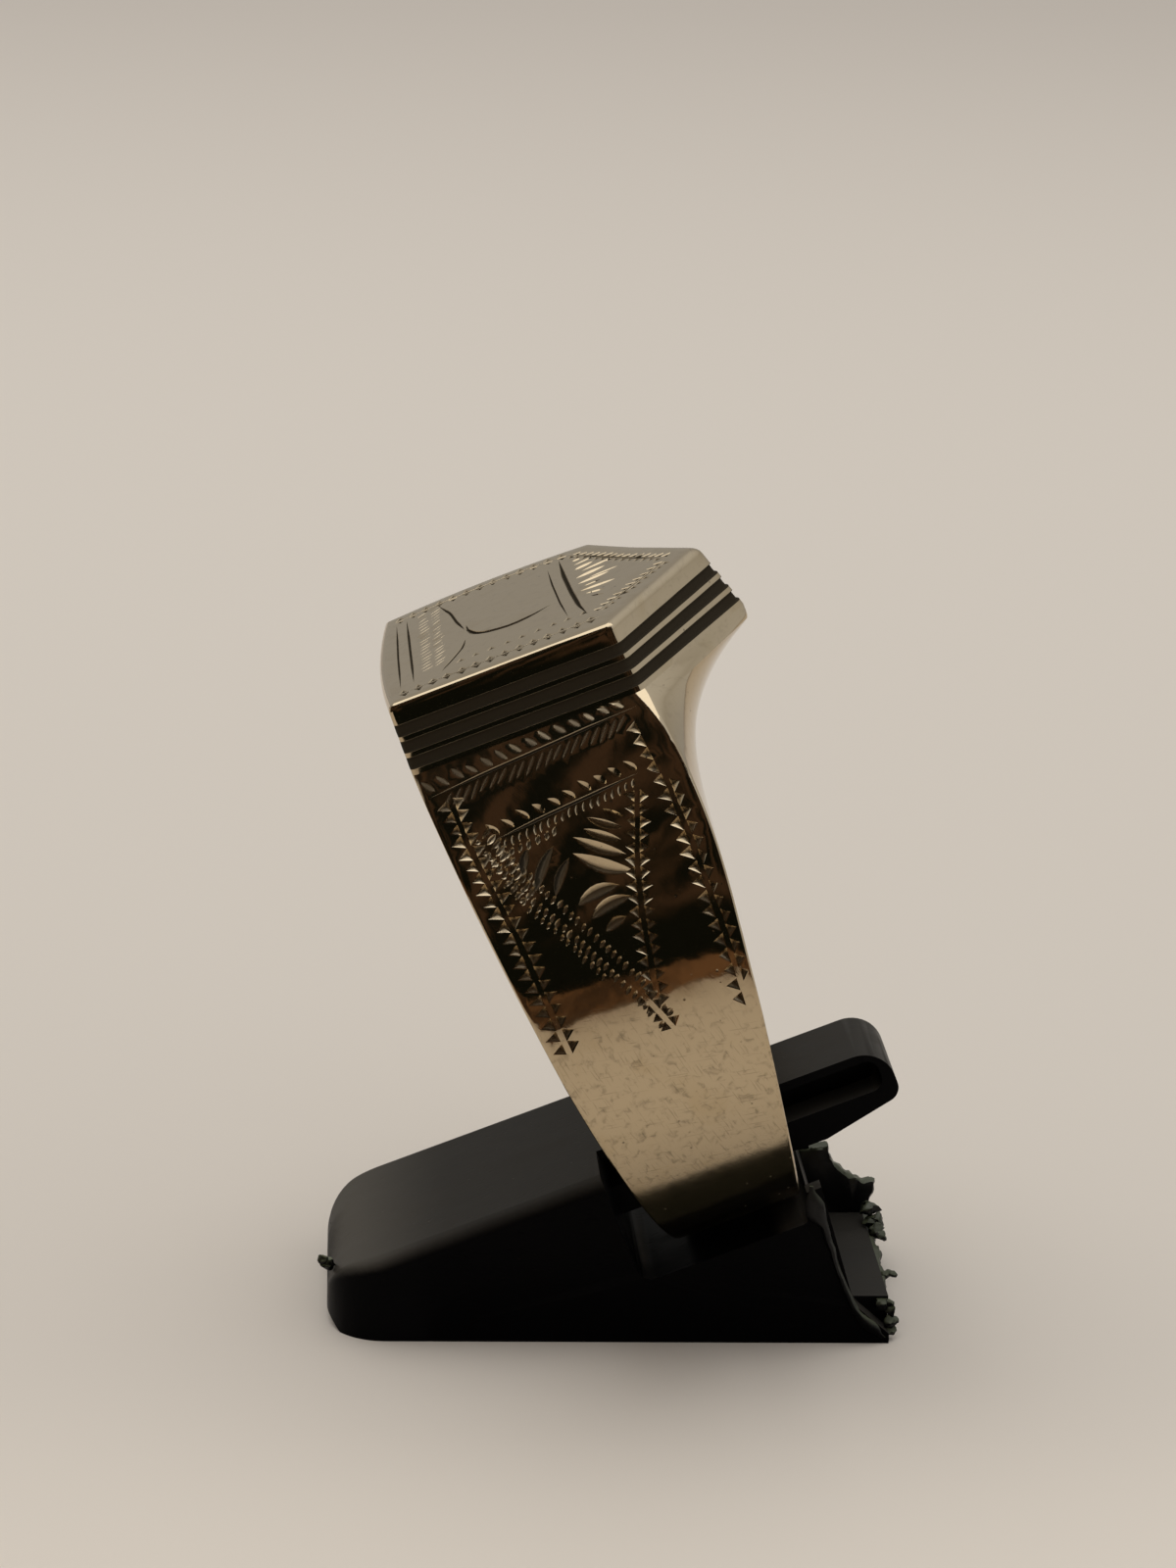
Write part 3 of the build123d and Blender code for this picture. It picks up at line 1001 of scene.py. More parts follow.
class ShaderTree:
    """Places and wires shader nodes in one tree."""

    def __init__(self, tree: bpy.types.NodeTree) -> None:
        """Works on that tree."""
        self.tree = tree

    def node(self, kind: str, **settings: object) -> bpy.types.Node:
        """A new node with some of its settings changed."""
        made = self.tree.nodes.new(kind)
        for name, value in settings.items():
            setattr(made, name, value)
        return made

    def feed(self, socket: bpy.types.NodeSocket, value: object) -> None:
        """Wires a socket, or sets its own value."""
        if isinstance(value, bpy.types.NodeSocket):
            self.tree.links.new(value, socket)
        else:
            socket.default_value = value

    def math(self, operation: str, *values: object, clamp: bool = False) -> bpy.types.NodeSocket:
        """The result of one sum."""
        made = self.node("ShaderNodeMath", operation=operation, use_clamp=clamp)
        for socket, value in zip(made.inputs, values):
            self.feed(socket, value)
        return made.outputs[0]

    def total(self, values: Iterable[object]) -> bpy.types.NodeSocket:
        """The sum of several values."""
        first, *others = values
        for value in others:
            first = self.math("ADD", first, value)
        return first

    def times(self, first: object, *others: object) -> bpy.types.NodeSocket:
        """The product of several values."""
        for value in others:
            first = self.math("MULTIPLY", first, value)
        return first

    def between(self, share: object, low: float, high: float) -> bpy.types.NodeSocket:
        """A value that goes straight from low to high as a share goes from 0 to 1."""
        return self.math("ADD", low, self.times(share, high - low))

    def coordinate(self, kind: str = "Object") -> bpy.types.NodeSocket:
        """Where a shaded spot lies, or how it faces."""
        return self.node("ShaderNodeTexCoord").outputs[kind]

    def axes(self, vector: object) -> bpy.types.NodeOutputs:
        """A vector's x, y and z."""
        made = self.node("ShaderNodeSeparateXYZ")
        self.feed(made.inputs[0], vector)
        return made.outputs

    def cloud(self, place: object, detail: float, distortion: float = 0.0) -> bpy.types.NodeSocket:
        """A soft random pattern whose features are about one unit wide."""
        made = self.node("ShaderNodeTexNoise")
        settings = {"Vector": place, "Scale": 1.0, "Detail": detail, "Distortion": distortion}
        for name, value in settings.items():
            self.feed(made.inputs[name], value)
        return made.outputs[0]

    def remap(self, value: object, low: float, high: float,
              to_low: float = 0.0, to_high: float = 1.0) -> bpy.types.NodeSocket:
        """A value eased from one range into another, and kept inside it."""
        made = self.node("ShaderNodeMapRange", interpolation_type="SMOOTHSTEP")
        for socket, setting in zip(made.inputs, (value, low, high, to_low, to_high)):
            self.feed(socket, setting)
        return made.outputs[0]

    def tint(self, factor: object, first: object, second: object) -> bpy.types.NodeSocket:
        """A colour between two others."""
        made = self.node("ShaderNodeMix", data_type="RGBA")
        self.feed(made.inputs["Factor"], factor)
        for name, value in (("A", first), ("B", second)):
            socket = next(s for s in made.inputs if s.name == name and s.type == "RGBA")
            self.feed(socket, (*value, 1.0) if isinstance(value, tuple) else value)
        return next(s for s in made.outputs if s.type == "RGBA")

    def group(self, tree: bpy.types.NodeTree, **values: object) -> bpy.types.Node:
        """A node group placed with its own values."""
        made = self.node("ShaderNodeGroup", node_tree=tree)
        for name, value in values.items():
            self.feed(made.inputs[name], value)
        return made


def new_group(name: str, inputs: dict[str, float | None],
              outputs: Sequence[str]) -> tuple[bpy.types.NodeTree, ShaderTree, Sockets, Sockets]:
    """An empty node group with named sockets.

    Args:
        name: The group's name.
        inputs: Each input's usual value, or None for a vector.
        outputs: Names of the values that come out.

    Returns:
        The group, its tree helper, and its inner sockets going in and out by name.
    """
    tree = bpy.data.node_groups.new(name, "ShaderNodeTree")
    for label, value in inputs.items():
        kind = "NodeSocketVector" if value is None else "NodeSocketFloat"
        socket = tree.interface.new_socket(label, in_out="INPUT", socket_type=kind)
        if value is not None:
            socket.default_value = value
    for label in outputs:
        tree.interface.new_socket(label, in_out="OUTPUT", socket_type="NodeSocketFloat")
    shader = ShaderTree(tree)
    entry, leave = shader.node("NodeGroupInput"), shader.node("NodeGroupOutput")
    return tree, shader, {s.name: s for s in entry.outputs}, {s.name: s for s in leave.inputs}


def scaled_place(shader: ShaderTree, place: object, size: object) -> bpy.types.NodeSocket:
    """A place divided by a size, so that one unit is one feature wide."""
    made = shader.node("ShaderNodeVectorMath", operation="SCALE")
    shader.feed(made.inputs[0], place)
    shader.feed(made.inputs["Scale"], shader.math("DIVIDE", 1.0, size))
    return made.outputs[0]


def unevenness_group() -> bpy.types.NodeTree:
    """Soft hollows and rises, as hand polishing or moulding leaves them."""
    usual = {"Place": None, "Size": 1.0, "Rise": 0.01}
    tree, shader, inner, outer = new_group("unevenness", usual, ["Height"])
    cloud = shader.cloud(scaled_place(shader, inner["Place"], inner["Size"]), 2.0)
    shader.feed(outer["Height"], shader.times(cloud, inner["Rise"]))
    return tree


def smudge_group() -> bpy.types.NodeTree:
    """Blotches with broken edges, from clean at 0 to marked at 1."""
    rarest, spread_effect, edge = 0.72, 0.4, 0.22
    usual = {"Place": None, "Size": 1.0, "Spread": 0.5}
    tree, shader, inner, outer = new_group("smudges", usual, ["Mask"])
    cloud = shader.cloud(scaled_place(shader, inner["Place"], inner["Size"]), 5.0, 0.6)
    low = shader.math("SUBTRACT", rarest, shader.times(inner["Spread"], spread_effect))
    shader.feed(outer["Mask"], shader.remap(cloud, low, shader.math("ADD", low, edge)))
    return tree


def hairline_group() -> bpy.types.NodeTree:
    """Fine scratches that run one way, turned by an angle in radians."""
    rarest, share_effect, edge = 0.74, 0.4, 0.09
    usual = {"Place": None, "Spacing": 0.2, "Length": 3.0, "Turn": 0.0, "Share": 0.4, "Depth": 0.002}
    tree, shader, inner, outer = new_group("hairlines", usual, ["Height", "Mask"])
    turned = shader.node("ShaderNodeVectorRotate", rotation_type="Z_AXIS")
    shader.feed(turned.inputs["Vector"], inner["Place"])
    shader.feed(turned.inputs["Angle"], inner["Turn"])
    joined = shader.node("ShaderNodeCombineXYZ")
    sizes = inner["Spacing"], inner["Length"], inner["Spacing"]
    for socket, part, size in zip(joined.inputs, shader.axes(turned.outputs[0]), sizes):
        shader.feed(socket, shader.math("DIVIDE", part, size))
    low = shader.math("SUBTRACT", rarest, shader.times(inner["Share"], share_effect))
    mask = shader.remap(shader.cloud(joined.outputs[0], 2.0), low, shader.math("ADD", low, edge))
    shader.feed(outer["Mask"], mask)
    shader.feed(outer["Height"], shader.times(mask, inner["Depth"], -1.0))
    return tree


def pit_group() -> bpy.types.NodeTree:
    """Scattered small pits or specks."""
    least_width = 0.35
    usual = {"Place": None, "Spacing": 0.6, "Width": 0.2, "Share": 0.3, "Depth": 0.01}
    tree, shader, inner, outer = new_group("pits", usual, ["Height", "Mask"])
    cells = shader.node("ShaderNodeTexVoronoi", feature="F1")
    cells.inputs["Scale"].default_value = 1.0
    shader.feed(cells.inputs["Vector"], scaled_place(shader, inner["Place"], inner["Spacing"]))
    lots = shader.node("ShaderNodeSeparateColor")
    shader.feed(lots.inputs[0], cells.outputs["Color"])
    chosen = shader.math("LESS_THAN", lots.outputs[0], inner["Share"])
    radius = shader.times(inner["Width"], shader.math("ADD", lots.outputs[1], least_width))
    away = shader.math("DIVIDE", cells.outputs["Distance"], radius)
    mask = shader.times(shader.math("SUBTRACT", 1.0, away, clamp=True), chosen)
    shader.feed(outer["Mask"], mask)
    shader.feed(outer["Height"], shader.times(mask, inner["Depth"], -1.0))
    return tree


class WearKit:
    """The shared surface effects, each built once."""

    def __init__(self) -> None:
        """Builds the node groups."""
        self.unevenness = unevenness_group()
        self.smudges = smudge_group()
        self.hairlines = hairline_group()
        self.pits = pit_group()


def new_material(name: str) -> tuple[bpy.types.Material, ShaderTree, bpy.types.Node]:
    """A material with an empty surface shader, its tree helper and the shader."""
    material = bpy.data.materials.new(name)
    material.use_nodes = True
    shader = ShaderTree(material.node_tree)
    return material, shader, material.node_tree.nodes["Principled BSDF"]


def set_bump(shader: ShaderTree, surface: bpy.types.Node, height: object) -> None:
    """Wires a height in millimetres to the surface's normal."""
    bump = shader.node("ShaderNodeBump")
    bump.inputs["Strength"].default_value = 1.0
    bump.inputs["Distance"].default_value = MM
    shader.feed(bump.inputs["Height"], height)
    shader.feed(surface.inputs["Normal"], bump.outputs[0])


@dataclass(frozen=True)
class WornGold:
    """Pale yellow gold, polished on the head, brushed by wear on the shank, with grime in the cuts.

    Heights on the standing part are in metres, depths of scratches in millimetres. Dirt is a share
    of the surface. A pair of values holds for sound metal and for worn or rubbed metal.
    """

    clean: Colour = (0.52, 0.42, 0.28)
    warm: Colour = (0.47, 0.365, 0.22)
    grime: Colour = (0.013, 0.0105, 0.007)
    warm_share: float = 0.6
    brush_depth: Point = (0.00006, 0.00036)
    scratch_depth: Point = (0.0001, 0.0002)
    stain_dirt: Point = (0.1, 0.34)
    mark_dirt: float = 0.26
    pit_dirt: float = 0.8
    hollow_dirt: float = 0.95
    dull_metal: float = 0.1
    roughness: float = 0.055
    brushed_roughness: float = 0.11
    smudge_roughness: float = 0.03
    cut_roughness: float = 0.2
    grime_roughness: float = 0.4
    brushed_below: float = 0.0095
    polished_above: float = 0.0132
    rubbed_below: float = 0.0145
    unrubbed_above: float = 0.0175

    def material(self, kit: WearKit) -> bpy.types.Material:
        """Builds the finish from the shared effects."""
        material, shader, surface = new_material("worn_gold")
        place = shader.node("ShaderNodeAttribute", attribute_name="wear_place").outputs["Vector"]
        hollow = shader.node("ShaderNodeAttribute", attribute_name="grime").outputs["Fac"]
        height = shader.axes(shader.coordinate())[2]
        worn = shader.remap(height, self.polished_above, self.brushed_below)
        rubbed = shader.remap(height, self.unrubbed_above, self.rubbed_below)
        scratch = shader.between(worn, *self.scratch_depth)
        brushed = shader.group(kit.hairlines, Place=place, Spacing=0.045, Length=1.1, Turn=0.5,
                               Share=0.6, Depth=shader.between(worn, *self.brush_depth))
        crossed = shader.group(kit.hairlines, Place=place, Spacing=0.07, Length=1.3, Turn=1.35,
                               Share=0.3, Depth=scratch)
        across = shader.group(kit.hairlines, Place=place, Spacing=0.06, Length=0.9, Turn=0.2,
                              Share=0.36, Depth=scratch)
        pits = shader.group(kit.pits, Place=place, Spacing=0.45, Width=0.13, Share=0.3, Depth=0.004)
        waves = shader.group(kit.unevenness, Place=place, Size=1.7, Rise=0.013)
        ripples = shader.group(kit.unevenness, Place=place, Size=0.36, Rise=0.0008)
        smudges = shader.group(kit.smudges, Place=place, Size=1.9, Spread=0.5).outputs[0]
        stains = shader.group(kit.smudges, Place=place, Size=0.34, Spread=0.52).outputs[0]
        marks = shader.math("MAXIMUM", crossed.outputs["Mask"], across.outputs["Mask"])
        metal = shader.tint(shader.times(smudges, self.warm_share), self.clean, self.warm)
        packed = shader.math("MAXIMUM", shader.remap(hollow, 0.04, 0.5, 0.0, self.hollow_dirt),
                             shader.times(pits.outputs["Mask"], self.pit_dirt))
        soiled = shader.math("ADD", shader.times(stains, shader.between(rubbed, *self.stain_dirt)),
                             shader.times(marks, rubbed, self.mark_dirt))
        dirt = shader.math("MAXIMUM", packed, soiled)
        shader.feed(surface.inputs["Base Color"], shader.tint(dirt, metal, self.grime))
        shader.feed(surface.inputs["Metallic"], shader.remap(dirt, 0.5, 0.95, 1.0, self.dull_metal))
        surface.inputs["Specular IOR Level"].default_value = 0.0
        rough = shader.total([
            self.roughness,
            shader.times(worn, self.brushed_roughness),
            shader.times(smudges, self.smudge_roughness),
            shader.remap(hollow, 0.0, 0.1, 0.0, self.cut_roughness),
            shader.times(packed, self.grime_roughness),
        ])
        shader.feed(surface.inputs["Roughness"], rough)
        heights = [node.outputs["Height"] for node in (brushed, crossed, across, pits, waves, ripples)]
        set_bump(shader, surface, shader.total(heights))
        return material


@dataclass(frozen=True)
class MouldedPlastic:
    """Black moulded plastic, glossy on its walls, with a pale film where it faces up: partly dust, partly
    painted sheen, with a painted highlight near the nose.

    Places on the standing part are in metres. Under the ring the pale film is left off the low plastic, as
    painted shade.
    """

    black: Colour = (0.0022, 0.0022, 0.0025)
    # Partly dust, partly painted sheen on faces that look up.
    dust_and_sheen: Colour = (0.1, 0.09, 0.074)
    roughness: float = 0.34
    blotched_roughness: float = 0.14
    scuffed_roughness: float = 0.12
    specular: float = 0.03
    dust_and_sheen_film: float = 0.3
    blotch_film: float = 0.07
    speck_film: float = 0.4
    scuff_film: float = 0.05
    # Painted highlight: the pale film thickens towards the nose's end.
    nose_painted_highlight: float = 0.55
    nose_end: float = -0.0109
    nose_length: float = 0.005
    # Painted shade: no pale film on the low plastic under the ring.
    painted_shade_x: float = 0.003
    painted_shade_reach: float = 0.003
    painted_shade_edge: float = 0.0006
    painted_shade_heights: Point = (0.006, 0.0072)

    def material(self, kit: WearKit, name: str) -> bpy.types.Material:
        """Builds the finish from the shared effects."""
        material, shader, surface = new_material(name)
        place = scaled_place(shader, shader.coordinate(), MM)
        x, _, z = shader.axes(shader.coordinate())
        waves = shader.group(kit.unevenness, Place=place, Size=3.0, Rise=0.03)
        grain = shader.group(kit.unevenness, Place=place, Size=0.16, Rise=0.0025)
        scuffs = shader.group(kit.hairlines, Place=place, Spacing=0.12, Length=3.0, Turn=1.3, Share=0.3,
                              Depth=0.003)
        specks = shader.group(kit.pits, Place=place, Spacing=0.55, Width=0.1, Share=0.2, Depth=-0.01)
        blotches = shader.group(kit.smudges, Place=place, Size=4.0, Spread=0.6).outputs[0]
        upward = shader.remap(shader.axes(shader.coordinate("Normal"))[2], 0.1, 0.95)
        # Painted shade under the ring: the pale film is left off there.
        away = shader.math("ABSOLUTE", shader.math("SUBTRACT", x, self.painted_shade_x))
        beside = shader.remap(away, self.painted_shade_reach, self.painted_shade_reach + self.painted_shade_edge)
        outside_painted_shade = shader.math("MAXIMUM", beside, shader.remap(z, *self.painted_shade_heights))
        # Dust and painted sheen on faces that look up, with a painted highlight towards the nose.
        dust_and_sheen_amount = shader.total([
            self.dust_and_sheen_film,
            shader.times(blotches, self.blotch_film),
            shader.remap(x, self.nose_end + self.nose_length, self.nose_end, 0.0, self.nose_painted_highlight),
            shader.times(specks.outputs["Mask"], self.speck_film),
            shader.times(scuffs.outputs["Mask"], self.scuff_film),
        ])
        dust_and_sheen_share = shader.times(upward, outside_painted_shade, dust_and_sheen_amount)
        shader.feed(surface.inputs["Base Color"], shader.tint(dust_and_sheen_share, self.black, self.dust_and_sheen))
        rough = shader.total([
            self.roughness,
            shader.times(blotches, self.blotched_roughness),
            shader.times(scuffs.outputs["Mask"], self.scuffed_roughness),
        ])
        shader.feed(surface.inputs["Roughness"], rough)
        surface.inputs["Specular IOR Level"].default_value = self.specular
        heights = [node.outputs["Height"] for node in (waves, grain, scuffs, specks)]
        set_bump(shader, surface, shader.total(heights))
        return material


# Sub-assemblies


@dataclass
class EngravedRing:
    """The gold ring: shank, engraved shoulders, swept facet and the grooved, engraved head."""

    sizes: RingSizes = field(default_factory=RingSizes)
    seat: RingSeat = field(default_factory=RingSeat)
    shoulder: ShoulderLayout = field(default_factory=ShoulderLayout)
    face: FaceLayout = field(default_factory=FaceLayout)
    patch_spacing: float = 0.42
    spoke_steps: int = 6
    bore_steps: int = 12
    lip_steps: int = 3
    edge_samples: int = 27
    bevel_steps: int = 5
    groove_lip: float = 0.035
    groove_wander: float = 0.014
    wander_pace: float = 1.4
    sharp_degrees: float = 17.0
    near_seed: int = 11
    far_seed: int = 23
    face_seed: int = 5

    def __post_init__(self) -> None:
        """Works out the ring's surfaces."""
        self.form = RingForm(self.sizes)

    def outer_border(self) -> np.ndarray:
        """The border of the developed outer strip, as x and s."""
        form, s = self.form, self.form.stations()
        y, z, _, _ = form.outline(s)
        left = form.left_x(y, z) + form.edge_inset(s, front=False)
        right = form.panel_edge(z) - form.edge_inset(s, front=True)
        near = np.linspace(left[0], right[0], self.edge_samples)
        top = np.column_stack([near, np.zeros_like(near)])
        bottom = np.column_stack([near[::-1], np.full_like(near, form.length)])
        right_side = np.column_stack([right, s])[1:-1]
        left_side = np.column_stack([left, s])[-2:0:-1]
        return np.concatenate([top, right_side, bottom, left_side])

    def add_outer_strip(self, draft: MeshDraft) -> None:
        """The engraved shoulders and the plain shank outside, in one sheet."""
        cuts = self.shoulder.cuts(Graver(self.near_seed))
        cuts += [cut.mirrored(self.form.length) for cut in self.shoulder.cuts(Graver(self.far_seed))]
        patch = EngravedPatch(self.outer_border(), cuts, self.patch_spacing)
        places, depth, grime, faces = patch.triangles()
        y, z, out_y, out_z = self.form.outline(places[:, 1])
        points = np.column_stack([places[:, 0], y - out_y * depth, z - out_z * depth])
        draft.add(points, places, faces, grime)

    def spoke_shares(self, start: np.ndarray, end: np.ndarray) -> np.ndarray:
        """Where the sides are sampled between the edge and the bore, closely where the keel turns under.

        Args:
            start: Heights at the edge.
            end: Heights at the bore's rim.

        Returns:
            Shares of the way, indexed by station and sample.
        """
        shortest, least, most = 0.1, 0.08, 0.5
        crease = np.clip((start - self.form.keel_top) / np.maximum(start - end, shortest), least, most)
        near = crease[:, None] * np.array([0.0, 0.55, 0.8, 1.0, 1.2, 1.5])
        rest = 1 - near[:, -1:]
        return np.hstack([near, near[:, -1:] + rest * np.linspace(0, 1, self.spoke_steps + 1)[None, 1:]])

    def add_sides(self, draft: MeshDraft) -> None:
        """Both sides of the band, their rounded edges and the bore."""
        form, sizes = self.form, self.sizes
        s = form.stations()
        line_y, line_z = form.inner_line(s)
        top_y = form.rim_shares()[::-1] * (form.shoulder_half - sizes.corner_inset)
        ring_y = np.concatenate([line_y, top_y[1:]])
        ring_z = np.concatenate([line_z, np.full(len(top_y) - 1, form.wall_bottom)])
        angle = np.arctan2(ring_z, ring_y)
        rim = sizes.bore_radius + sizes.bore_round
        share = self.spoke_shares(ring_z, rim * np.sin(angle))
        spoke_y = ring_y[:, None] * (1 - share) + rim * np.cos(angle)[:, None] * share
        spoke_z = ring_z[:, None] * (1 - share) + rim * np.sin(angle)[:, None] * share
        hole_y, hole_z = sizes.bore_radius * np.cos(angle), sizes.bore_radius * np.sin(angle)
        rims = []
        for front in (True, False):
            side = form.right_x if front else form.left_x
            wall = np.stack([side(spoke_y, spoke_z), spoke_y, spoke_z], axis=2)
            bend = np.column_stack([side(hole_y, hole_z), hole_y, hole_z])
            inward = sizes.bore_round * (-1 if front else 1)
            lip = bent(wall[:, -1], bend, bend + (inward, 0, 0), self.lip_steps)
            for sheet in (form.edge_strip(s, front), wall, lip):
                draft.add_rows(sheet)
            rims.append(lip[:, -1])
        share = np.linspace(0, 1, self.bore_steps + 1)[None, :, None]
        draft.add_rows(rims[0][:, None] * (1 - share) + rims[1][:, None] * share)

    def wall_profile(self) -> list[tuple[float, float, float]]:
        """Heights, insets and grime up the head's wall, through its grooves and over its bevel."""
        sizes, lip, deep = self.sizes, self.groove_lip, self.sizes.groove_depth
        flank = ((-lip, 0.0, 0.0), (-0.006, 0.0, 1.0), (lip / 2, 0.7, 1.0), (1.5 * lip, 0.95, 1.0))
        profile = [(self.form.wall_bottom, 0.0, 0.0)]
        for index in reversed(range(sizes.groove_count)):
            top = sizes.face_height - sizes.plain_band - index * (sizes.groove_width + sizes.groove_land)
            bottom = top - sizes.groove_width
            profile += [(bottom + step, deep * share, grime) for step, share, grime in flank]
            profile.append(((bottom + top) / 2, deep, 1.0))
            profile += [(top - step, deep * share, grime) for step, share, grime in reversed(flank)]
        bevel = sizes.face_bevel
        low = sizes.face_height - bevel
        profile.append((low - bevel, 0.0, 0.0))
        for angle in np.linspace(0, math.pi / 2, self.bevel_steps + 1):
            profile.append((low + bevel * math.sin(angle), bevel * (1 - math.cos(angle)), 0.0))
        return profile

    def add_head(self, draft: MeshDraft) -> None:
        """The head's grooved wall and its engraved face."""
        profile = self.wall_profile()
        rows = np.stack([self.form.head_loop(height, inset) for height, inset, _ in profile])
        band_foot = self.sizes.face_height - self.sizes.plain_band
        pace = self.wander_pace
        for row, (height, _, grime) in zip(rows, profile):
            if grime:
                rises = [noise.noise(Vector((x * pace, y * pace, height))) for x, y, _ in row]
                row[:, 2] += self.groove_wander * np.array(rises)
            share = min(max((height - band_foot) / self.sizes.plain_band, 0), 1)
            row[:, 2] += share * self.form.face_rise(row[:, 0], row[:, 1])
        grime = np.repeat([[amount] for _, _, amount in profile], rows.shape[1], axis=1)
        draft.add_rows(rows, grime)
        cuts = self.face.cuts(Graver(self.face_seed))
        patch = EngravedPatch(rows[-1][:-1, :2], cuts, self.patch_spacing)
        places, depth, grime, faces = patch.triangles()
        rise = self.form.face_rise(places[:, 0], places[:, 1])
        points = np.column_stack([places, self.sizes.face_height + rise - depth])
        draft.add(points, places, faces, grime)

    def build(self, kit: WearKit) -> bpy.types.Object:
        """Makes the ring as one body of metal and dresses it."""
        draft = MeshDraft()
        self.add_outer_strip(draft)
        self.add_sides(draft)
        self.add_head(draft)
        piece = draft.build("engraved_ring", self.seat.matrix(), self.sharp_degrees)
        piece.data.materials.append(WornGold().material(kit))
        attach(piece, BODY)
        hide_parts("signet_ring")
        return piece


@dataclass
class DisplayClip:
    """The moulded clip, whose solid stays, with its finish."""

    edge_round: float = 0.1
    rounded_degrees: float = 32.0
    crisp_degrees: float = 50.0
    weld_distance: float = 0.001

    def build(self, kit: WearKit) -> bpy.types.Object:
        """Dresses the clip's solid and rounds its edges as a mould does."""
        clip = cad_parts["ring_stand"]
        clip.data.materials.clear()
        clip.data.materials.append(MouldedPlastic().material(kit, "black_plastic"))
        clip.modifiers.new("weld", "WELD").merge_threshold = self.weld_distance * MM
        rounding = clip.modifiers.new("round", "BEVEL")
        rounding.width = self.edge_round * MM
        rounding.segments = 2
        rounding.limit_method = "ANGLE"
        rounding.angle_limit = math.radians(self.rounded_degrees)
        clip.modifiers.new("crisp", "EDGE_SPLIT").split_angle = math.radians(self.crisp_degrees)
        clip.modifiers.new("even", "WEIGHTED_NORMAL").mode = "FACE_AREA"
        LOG.info("ring_stand: dressed")
        return clip


